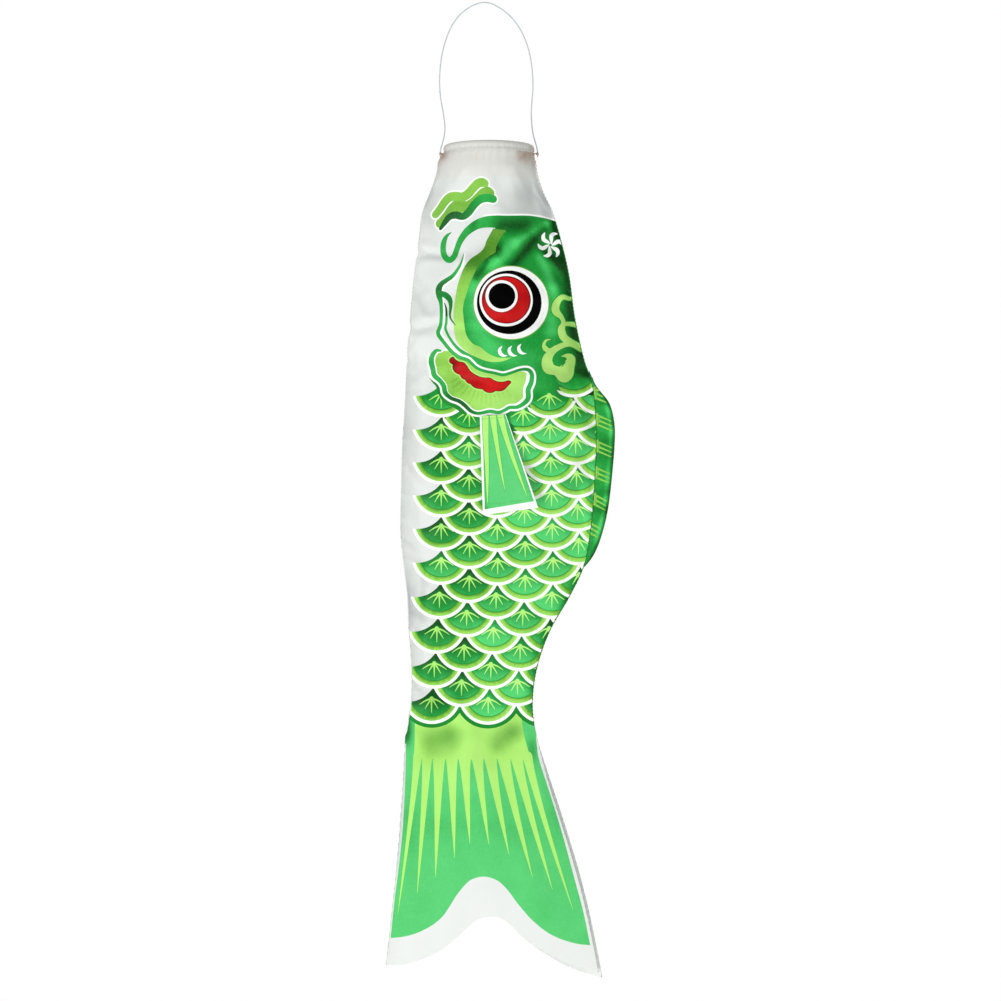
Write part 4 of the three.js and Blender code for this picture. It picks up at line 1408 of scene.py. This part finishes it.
def add_cord():
    """The hanging cord."""
    line = space_curve(CORD_ROUTE, 0.5)
    radii = np.full(len(line), CORD_DIAMETER / 2)
    body = tube(line, radii, 14, lobes=STRANDS, lobe_share=0.09, twist=TWIST)
    cord = piece_of("cord_loop_fibre", [body], CORD_FIBRE)
    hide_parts("hanging_cord")
    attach(cord, "cord_loop")
    return cord, line


KNOT_PLACES = {"belly_knot": ("belly_cord_knot", -40.7), "back_knot": ("back_cord_knot", 40.7)}
KNOT_DEPTH = 126.3


def add_knots():
    """Overhand knots: a trefoil of cord with a short tail."""
    knots = []
    for name, (node, x) in KNOT_PLACES.items():
        turn = np.linspace(0, 2 * math.pi, 91)
        line = 0.46 * np.column_stack([
            np.sin(turn) + 2 * np.sin(2 * turn),
            np.cos(turn) - 2 * np.cos(2 * turn),
            -1.5 * np.sin(3 * turn),
        ])
        line = line * (0.72, 0.72, 0.9) + (x, 0, -KNOT_DEPTH)
        ball = tube(line, np.full(len(line), 0.44), KNOT_SIDES, STRANDS, 0.08, TWIST)
        side = np.sign(x)
        tail_line = space_curve([(x, 0, -KNOT_DEPTH), (x + side * 0.4, -0.5, -KNOT_DEPTH - 1.3),
                                 (x + side * 0.2, -0.7, -KNOT_DEPTH - 2.6)], 0.3)
        radii = np.linspace(0.42, 0.5, len(tail_line))
        tail = tube(tail_line, radii, KNOT_SIDES, STRANDS, 0.12, TWIST)
        through = space_curve([(side * 40.9, 0, -124.6), (side * 40.8, 0, -125.6),
                               (side * 39.6, 0, -126.2), (side * 38.2, 0, -126.1),
                               (side * 36.2, 0, -125.9)], 0.3)
        lead = tube(through, np.full(len(through), 0.5), KNOT_SIDES, STRANDS, 0.1, TWIST)
        knot = piece_of(name, [ball, tail, lead], KNOT_FIBRE)
        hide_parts(node)
        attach(knot, "carp_body")
        knots.append(knot)
    return knots


def same_way(line, direction):
    """One direction, repeated for every point of a line."""
    return np.tile(np.array(direction, float), (len(line), 1))


STITCH_POINTS = 7
STITCH_SIDES = 6


def stitch_row(line, length, gap, outwards, radius=0.24, lift=0.12):
    """Separate stitches along a line; each one dives into the cloth at both ends."""
    walked = walked_along(line)
    count = int(walked[-1] // (length + gap))
    bodies = []
    for i in range(count):
        start = i * (length + gap)
        at = start + np.linspace(0, length, STITCH_POINTS)
        middle = np.column_stack([np.interp(at, walked, line[:, k]) for k in range(3)])
        out = np.column_stack([np.interp(at, walked, outwards[:, k]) for k in range(3)])
        arch = np.sin(np.linspace(0, math.pi, STITCH_POINTS))[:, None]
        middle = middle + out * (arch * (lift + radius) - radius * 0.8)
        radii = radius * (0.75 + 0.25 * arch[:, 0])
        bodies.append(tube(middle, radii, STITCH_SIDES))
    return bodies


cord_piece, cord_line = add_cord()
knot_pieces = add_knots()


# ---- the mouth hem ------------------------------------------------------------------------

HEM_STITCH_DEPTH = 125.2
HEM_SECTION = [              # radius and depth, from the inner lower edge over the wire and down
    (36.9, 127.0), (36.8, 125.2), (35.4, 123.8), (34.5, 122.6), (34.2, 121.4), (34.8, 120.3),
    (35.9, 119.75), (37.0, 120.1), (37.8, 121.2), (38.1, 122.6), (37.95, 124.0), (37.75, 125.2),
    (38.0, 126.2), (38.25, 127.2),
]
HEM_THICKNESS = 0.3
HEM_COLUMNS = 360


def hem_pucker(angle, depth):
    """How far the gathered hem stands out: most along its line of stitches."""
    near = bell(depth, HEM_STITCH_DEPTH, 2.6)
    wave = np.sin(58 * angle + 2.2 * np.sin(7 * angle)) * 0.6 + 0.4 * np.sin(31 * angle + 1.3)
    return 0.2 * wave * (0.25 + 0.75 * near)


def add_hem():
    """The round channel of white cloth that holds the hoop."""
    section = smooth_curve(HEM_SECTION, 0.4)
    along = unit(np.gradient(section, axis=0))
    out = np.column_stack([along[:, 1], -along[:, 0]])
    outer = section + out * (-HEM_THICKNESS / 2)
    inner = section + out * (HEM_THICKNESS / 2)
    loop = np.vstack([outer, inner[::-1]])
    points = []
    for i in range(HEM_COLUMNS):
        angle = 2 * math.pi * i / HEM_COLUMNS
        radius = loop[:, 0] + hem_pucker(angle, loop[:, 1])
        depth = loop[:, 1] + 0.12 * math.sin(23 * angle) * ease(loop[:, 1], 125.5, 127)
        points.append(np.column_stack([radius * math.cos(angle), radius * math.sin(angle), -depth]))
    count = len(loop)
    faces = []
    for i in range(HEM_COLUMNS):
        here, there = i * count, (i + 1) % HEM_COLUMNS * count
        for k in range(count):
            a, b = k, (k + 1) % count
            faces += [(here + a, there + a, there + b), (here + a, there + b, here + b)]
    mesh = mesh_of("mouth_hem_cloth", np.vstack(points), np.array(faces))
    mesh.materials.append(MATERIALS["white_with_painted_warm_shade"])
    across, _, heights = np.vstack(points).T
    # painted shade: a little darker along the stitches, and warm and dark towards the hem's two ends
    shades = 0.56 - 0.10 * bell(-heights, HEM_STITCH_DEPTH, 0.5)
    shades = shades - 0.36 * ease(across, 30, 38.5) - 0.14 * ease(-across, 33, 38.5)
    set_point_shades(mesh, shades)
    hem = new_object("mouth_hem_cloth", mesh)
    flip_if_inside_out(hem)
    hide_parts("mouth_hem")
    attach(hem, "carp_body")


def flip_if_inside_out(piece):
    """Makes the faces of a closed piece point outwards."""
    shape = bmesh.new()
    shape.from_mesh(piece.data)
    bmesh.ops.recalc_face_normals(shape, faces=shape.faces)
    shape.to_mesh(piece.data)
    shape.free()
    piece.data.shade_smooth()


def add_hem_stitches():
    """Two arcs of stitches round the hem, each with an outer and an inner row."""
    for name, low, high in [("left_hem_thread", 184, 356), ("right_hem_thread", 4, 176)]:
        bodies = []
        for radius, sign in [(37.95, 1), (36.65, -1)]:
            angle = np.radians(np.linspace(low, high, 200))
            reach = radius + hem_pucker(angle, HEM_STITCH_DEPTH)
            line = np.column_stack([reach * np.cos(angle), reach * np.sin(angle),
                                    np.full(len(angle), -HEM_STITCH_DEPTH)])
            out = np.column_stack([np.cos(angle), np.sin(angle), np.zeros(len(angle))]) * sign
            bodies += stitch_row(line, 2.3, 0.7, out, radius=0.2)
        piece = piece_of(name + "_stitches", bodies, THREAD)
        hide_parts(name)
        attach(piece, "carp_body")


# ---- fins ---------------------------------------------------------------------------------

# the side fin's corners: top left, bottom left, bottom right, top right
PECTORAL = [(-7.6, 347.5), (-5.0, 429.9), (41.2, 423.9), (14.0, 345.9)]
PECTORAL_Y = 15.35
FIN_THICKNESS = 0.34
PECTORAL_SPACING = 2.2
DORSAL_SPACING = 1.9


def pectoral_layers():
    """The side fin's print and border."""
    whole = polygon(PECTORAL, 3)
    field = polygon([(-5.6, 344), (-3.4, 425.2), (37.6, 418.4), (12.6, 343)], 2.5)
    field_shade = lambda x, depth: (
        0.72 - 0.35 * np.exp(-np.abs(x + 5.6 - 0.027 * (depth - 344)) / 1.3)
        - 0.28 * np.exp(-np.maximum(12.6 + (depth - 343) * 0.331 - x, 0) / 1.5)
        - 0.22 * bell(x, -2, 5) * bell(depth, 424, 5)
    )
    layers = [("white_ink", whole, 0.72), ("tail_green", field, field_shade)]
    stripes = [
        [(-3.0, 344.6, 5.4), (-2.6, 366, 4.4), (-1.6, 390, 3.1), (-1.3, 408, 1.7), (-1.2, 420.4, 0.2)],
        [(2.9, 344.4, 5.6), (5.2, 362, 4.0), (8.4, 382, 2.7), (11.2, 398, 1.5), (13.5, 409.6, 0.2)],
        [(8.9, 344, 5.6), (13.5, 362, 4.1), (20.0, 382, 3.1), (26.4, 399.5, 1.9), (32.0, 414.8, 0.2)],
    ]
    for rows in stripes:
        layers.append(("tail_green", grown(brush(rows), 0.5), 0.42))
        layers.append(("ray", brush(rows), 0.62))
    return layers, whole


def pectoral_shape(points):
    """How far the loose side fin stands out: rolled at its edges, lifted at its lower end."""
    x, depth = points[:, 0], points[:, 1]
    down = (depth - 346) / 84
    left = x - (-7.6 + 2.6 * down)
    right = (14.0 + 27.2 * down) - x
    rolled = 0.28 * (np.exp(-np.maximum(left, 0) / 1.4) + np.exp(-np.maximum(right, 0) / 1.4))
    rolled = rolled + 0.3 * np.exp(-np.maximum(429.9 - (x + 5) * 0.13 - depth, 0) / 2.0)
    wave = 0.22 * np.sin(x / 6 + 0.6) * ease(down, 0.1, 0.6) + 0.2 * np.sin(depth / 19)
    hem = -0.16 * bell(depth, 421.2 - (x + 5) * 0.105, 0.7)
    return rolled + wave + hem + 0.25 * ease(down, 0.6, 1)


def add_pectorals():
    """Both side fins with their stitches."""
    layers, border = pectoral_layers()
    flat, faces = triangulate(border, [layer[1] for layer in layers[1:]], PECTORAL_SPACING)
    inks, owner = paint(flat, faces, layers)
    shades = corner_shades(flat[faces], owner, layers)
    for side, word in SIDES:
        def front(points, sunk=0):
            y = PECTORAL_Y + pectoral_shape(points) * 0.8 - sunk
            return np.column_stack([points[:, 0], side * y, -points[:, 1]])

        def back(points):
            return front(points, FIN_THICKNESS)

        fin = printed_sheet(f"{word}_side_fin", flat, faces, inks, shades, front, back,
                            side == LEFT, True)
        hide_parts(f"{word}_pectoral_fin")
        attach(fin, f"{word}_fin")
        line = space_curve([(-6.2, side * 16.0, -350.0), (13.2, side * 16.0, -348.4)], 0.6)
        row = stitch_row(line, 1.9, 0.6, same_way(line, (0, side, 0)), 0.17)
        top = piece_of(f"{word}_fin_stitches", row, LIME_THREAD)
        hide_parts(f"{word}_pectoral_thread")
        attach(top, f"{word}_fin")
        line = space_curve([(-3.4, side * 15.9, -421.6), (38.0, side * 15.9, -416.9)], 0.6)
        row = stitch_row(line, 1.9, 0.6, same_way(line, (0, side, 0)), 0.14)
        hem = piece_of(f"{word}_fin_hem_stitches", row, LIME_THREAD)
        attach(hem, f"{word}_fin")


# the back fin's outer edge, as x and depth
DORSAL_EDGE = [(83.9, 308), (90.6, 322), (101.2, 336), (105.6, 354), (105.6, 372), (103.7, 395),
               (100.3, 424), (94.8, 447), (88.4, 463), (80.4, 474)]
DORSAL_STITCH_INSET = 2.4


def dorsal_layers():
    """The back fin's print and border, and the x of its outer and inner edge at a depth."""
    inner_depth = np.linspace(474, 308, 60)
    inner = np.column_stack([station(inner_depth)[1] + 0.55, inner_depth])
    edge = smooth_curve(DORSAL_EDGE, 1.8)
    border = np.vstack([edge[:-1], inner[:-1]])
    outer_x = lambda depth: np.interp(depth, edge[:, 1], edge[:, 0])
    inner_x = lambda depth: station(depth)[1]

    def field_shade(x, depth):
        # painted light and shade: a painted shadow along the outer edge, a painted highlight just inside
        # it, and light and dark bands along the fin
        to_edge = outer_x(depth) - x
        shade = 0.53 + 0.30 * bell(to_edge, 3.6, 1.5) - 0.95 * np.exp(-np.maximum(to_edge, 0) / 1.0)
        shade = shade + 0.18 * np.sin(depth / 4.1 + 1.4 * np.sin(depth / 11)) * bell(to_edge, 3, 3)
        return shade - 0.16 * bell(np.sin(depth / 7.2), 0.6, 0.5)

    layers = [("head_green", border, field_shade)]
    for group in range(6):
        start = 323.4 + 22.3 * group + (2.5 if group == 5 else 0)
        slope = 0.42 if group < 4 else 0.55
        root = float(inner_x(start + 4)) + 1.3
        if group < 5:
            smear = [(root, start - 0.4, 2.2), (root + 0.5, start + 4, 3.2), (root, start + 8.4, 2.2)]
            layers.append(("lime", brush(smear), 0.46))
        for bar in range(3):
            depth = start + 3.9 * bar
            left = float(inner_x(depth)) + 0.4
            right = float(outer_x(depth + slope * 10)) - 2.6
            if right - left < 3:
                continue
            rows = [(left, depth, 1.9), (left + 3.5, depth + slope * 3.5, 1.6),
                    (right, depth + slope * (right - left), 0.9)]
            layers.append(("lime", brush(rows), 0.50))
    return layers, border, outer_x, inner_x


def add_dorsal():
    """The back fin with its stitches on both faces."""
    layers, border, outer_x, inner_x = dorsal_layers()
    flat, faces = triangulate(border, [layer[1] for layer in layers[1:]], DORSAL_SPACING)
    inks, owner = paint(flat, faces, layers)
    shades = corner_shades(flat[faces], owner, layers)

    def half_thickness(points):
        x, depth = points[:, 0], points[:, 1]
        width = np.maximum(outer_x(depth) - inner_x(depth), 1)
        t = np.clip((x - inner_x(depth)) / width, 0, 1)
        full = 0.30 + 0.42 * np.sqrt(np.clip(1 - t, 0, 1)) * ease(t, 0, 0.25)
        pinch = 0.24 * bell(x - inner_x(depth), DORSAL_STITCH_INSET, 1.0)
        return full - pinch + 0.14 * np.sin(depth * 0.9 + 1.5 * np.sin(depth / 8)) * bell(t, 0.35, 0.3)

    def sway(points):
        x, depth = points[:, 0], points[:, 1]
        t = np.clip((x - inner_x(depth)) / 18, 0, 1)
        return t * (0.5 * np.sin(depth / 9.5) + 0.35 * np.sin(depth / 4.7 + 1))

    def front(points, side=LEFT):
        y = sway(points) + side * half_thickness(points)
        return np.column_stack([points[:, 0], y, -points[:, 1]])

    def back(points):
        return front(points, RIGHT)

    fin = printed_sheet("back_fin_cloth", flat, faces, inks, shades, front, back, True, False)
    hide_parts("dorsal_fin")
    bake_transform(fin)
    for side, word in SIDES:
        depth = np.linspace(314, 468, 200)
        spots = np.column_stack([inner_x(depth) + DORSAL_STITCH_INSET, depth])
        y = sway(spots) + side * (half_thickness(spots) + 0.12)
        line = np.column_stack([spots[:, 0], y, -depth])
        row = stitch_row(line, 2.2, 0.8, same_way(line, (0, side, 0)), 0.19)
        piece = piece_of(f"{word}_back_fin_stitches", row, GREEN_THREAD)
        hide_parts(f"{word}_dorsal_thread")
        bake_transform(piece)


# ---- seams --------------------------------------------------------------------------------

SEAMS = [                    # CAD node, edge, from depth, to depth, thread
    ("belly_seam_thread", 0, 133, 610, THREAD),
    ("upper_back_seam_thread", 1, 132, 305, GREEN_THREAD),
    ("lower_back_seam_thread", 1, 478, 610, GREEN_THREAD),
]
LIPS_OF_SEAMS = [("belly_seam_lip", 0), ("back_seam_lip", 1)]
OUT_AT_EDGE = (-1, 1)        # which way along x is outwards
LIP_RADIUS = 0.42
HEAD_TOP = 183


def seam_line(edge, depth, outwards):
    """A line beside the belly seam, edge 0, or the back seam, edge 1, with its slight waver."""
    x = edges(depth, RIGHT)[edge] + outwards * OUT_AT_EDGE[edge]
    return np.column_stack([x, 0.14 * np.sin(depth * 0.9), -depth])


def add_seams():
    """Where the two cloths are sewn edge to edge: a narrow rolled lip with stitches over it."""
    for name, edge in LIPS_OF_SEAMS:
        depth = np.arange(132, 611, 0.8)
        beside_fin = ease(depth, 300, 312) * (1 - ease(depth, 470, 482)) * edge
        line = seam_line(edge, depth, -0.1 + 0.4 * beside_fin)
        lip = piece_of(name, [tube(line, np.full(len(depth), LIP_RADIUS), 8)], MATERIALS["white"])
        paint_lip(lip, printed=edge == 1)
        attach(lip, "carp_body")
    for node, edge, low, high, thread in SEAMS:
        line = seam_line(edge, np.arange(low, high, 0.8), 0.32)
        out = same_way(line, (OUT_AT_EDGE[edge], 0, 0))
        bodies = stitch_row(line, 1.7, 1.5, out, 0.16, 0.1)
        stitches = piece_of(node.replace("_thread", "_stitches"), bodies, thread)
        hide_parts(node)
        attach(stitches, "carp_body")


def paint_lip(piece, printed):
    """The back seam's lip is printed green from the head down."""
    piece.data.materials.append(MATERIALS["head_green"])
    depth = -np.array([vertex.co.z for vertex in piece.data.vertices]) / MM
    green = printed * ease(depth, HEAD_TOP - 1, HEAD_TOP + 1)
    shades = 0.42 - green * (0.20 - 0.06 * np.sin(depth * 0.31))
    set_point_shades(piece.data, shades)
    if printed:
        for polygon in piece.data.polygons:
            polygon.material_index = int(-polygon.center.z / MM > HEAD_TOP)


# ---- the rest of the assembly -------------------------------------------------------------

def finish_cad_nodes():
    """The materials of the two nodes that keep the CAD's shape."""
    for name, material in [("mouth_hoop", drawn_wire()), ("hoop_sleeve", tube_plastic())]:
        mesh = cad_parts[name].data
        mesh.materials.clear()
        mesh.materials.append(material)


WORLD_LIGHT = 0.42
LIGHTS = [                   # name, place in metres, size in metres, power in watts
    ("key_light", (-1.25, -1.25, -0.75), (0.6, 0.9), 17),
    ("front_fill", (0.3, -2.3, -0.9), (1.2, 1.2), 9.5),
    ("right_fill", (1.5, -1.0, -0.8), (0.8, 1.2), 6),
    ("back_light", (0.6, 1.7, 0.4), (1.2, 1.2), 12),
]
LIGHT_AIM = (0, 0, -0.4)
FLOOR_HALF = 1.2
FLOOR_HEIGHT = -1.3


def add_floor_and_lights():
    """The pale floor, four area lights and the world's light."""
    mesh = bpy.data.meshes.new("floor")
    ways = [(-1, -1), (1, -1), (1, 1), (-1, 1)]
    corners = [(FLOOR_HALF * x, FLOOR_HALF * y, FLOOR_HEIGHT) for x, y in ways]
    mesh.from_pydata(corners, [], [(0, 1, 2, 3)])
    floor = new_object("floor", mesh)
    nodes = Nodes("pale_floor")
    tone = nodes.noise(6, 4)
    nodes.link(nodes.ramp(tone, [(0.3, 0xE9E9E7), (0.7, 0xF2F2F0)]), nodes.shader.inputs["Base Color"])
    nodes.set(roughness=0.7)
    mesh.materials.append(nodes.material)

    world = bpy.data.worlds.new("world")
    bpy.context.scene.world = world
    world.use_nodes = True
    tree = world.node_tree
    background = tree.nodes["Background"]
    background.inputs["Color"].default_value = (1, 1, 1, 1)
    background.inputs["Strength"].default_value = WORLD_LIGHT
    seen = tree.nodes.new("ShaderNodeBackground")
    seen.inputs["Color"].default_value = (1, 1, 1, 1)
    rays = tree.nodes.new("ShaderNodeLightPath")
    mix = tree.nodes.new("ShaderNodeMixShader")
    tree.links.new(rays.outputs["Is Camera Ray"], mix.inputs[0])
    tree.links.new(background.outputs[0], mix.inputs[1])
    tree.links.new(seen.outputs[0], mix.inputs[2])
    tree.links.new(mix.outputs[0], tree.nodes["World Output"].inputs["Surface"])

    for name, place, size, power in LIGHTS:
        light = bpy.data.lights.new(name, "AREA")
        light.shape = "RECTANGLE"
        light.size, light.size_y = size
        light.energy = power
        holder = new_object(name, light)
        holder.location = place
        aim = Vector(LIGHT_AIM) - holder.location
        holder.rotation_euler = aim.to_track_quat("-Z", "Y").to_euler()
    view = bpy.context.scene.view_settings
    view.view_transform = "Standard"
    view.look = "None"


# ---- put it together ----------------------------------------------------------------------

settle_tube()
layers = side_print()
left_cloth = side_cloth(LEFT, layers, "left_cloth")
right_cloth = side_cloth(RIGHT, layers, "right_cloth")
add_hem()
add_hem_stitches()
add_pectorals()
add_dorsal()
add_seams()
finish_cad_nodes()
add_floor_and_lights()
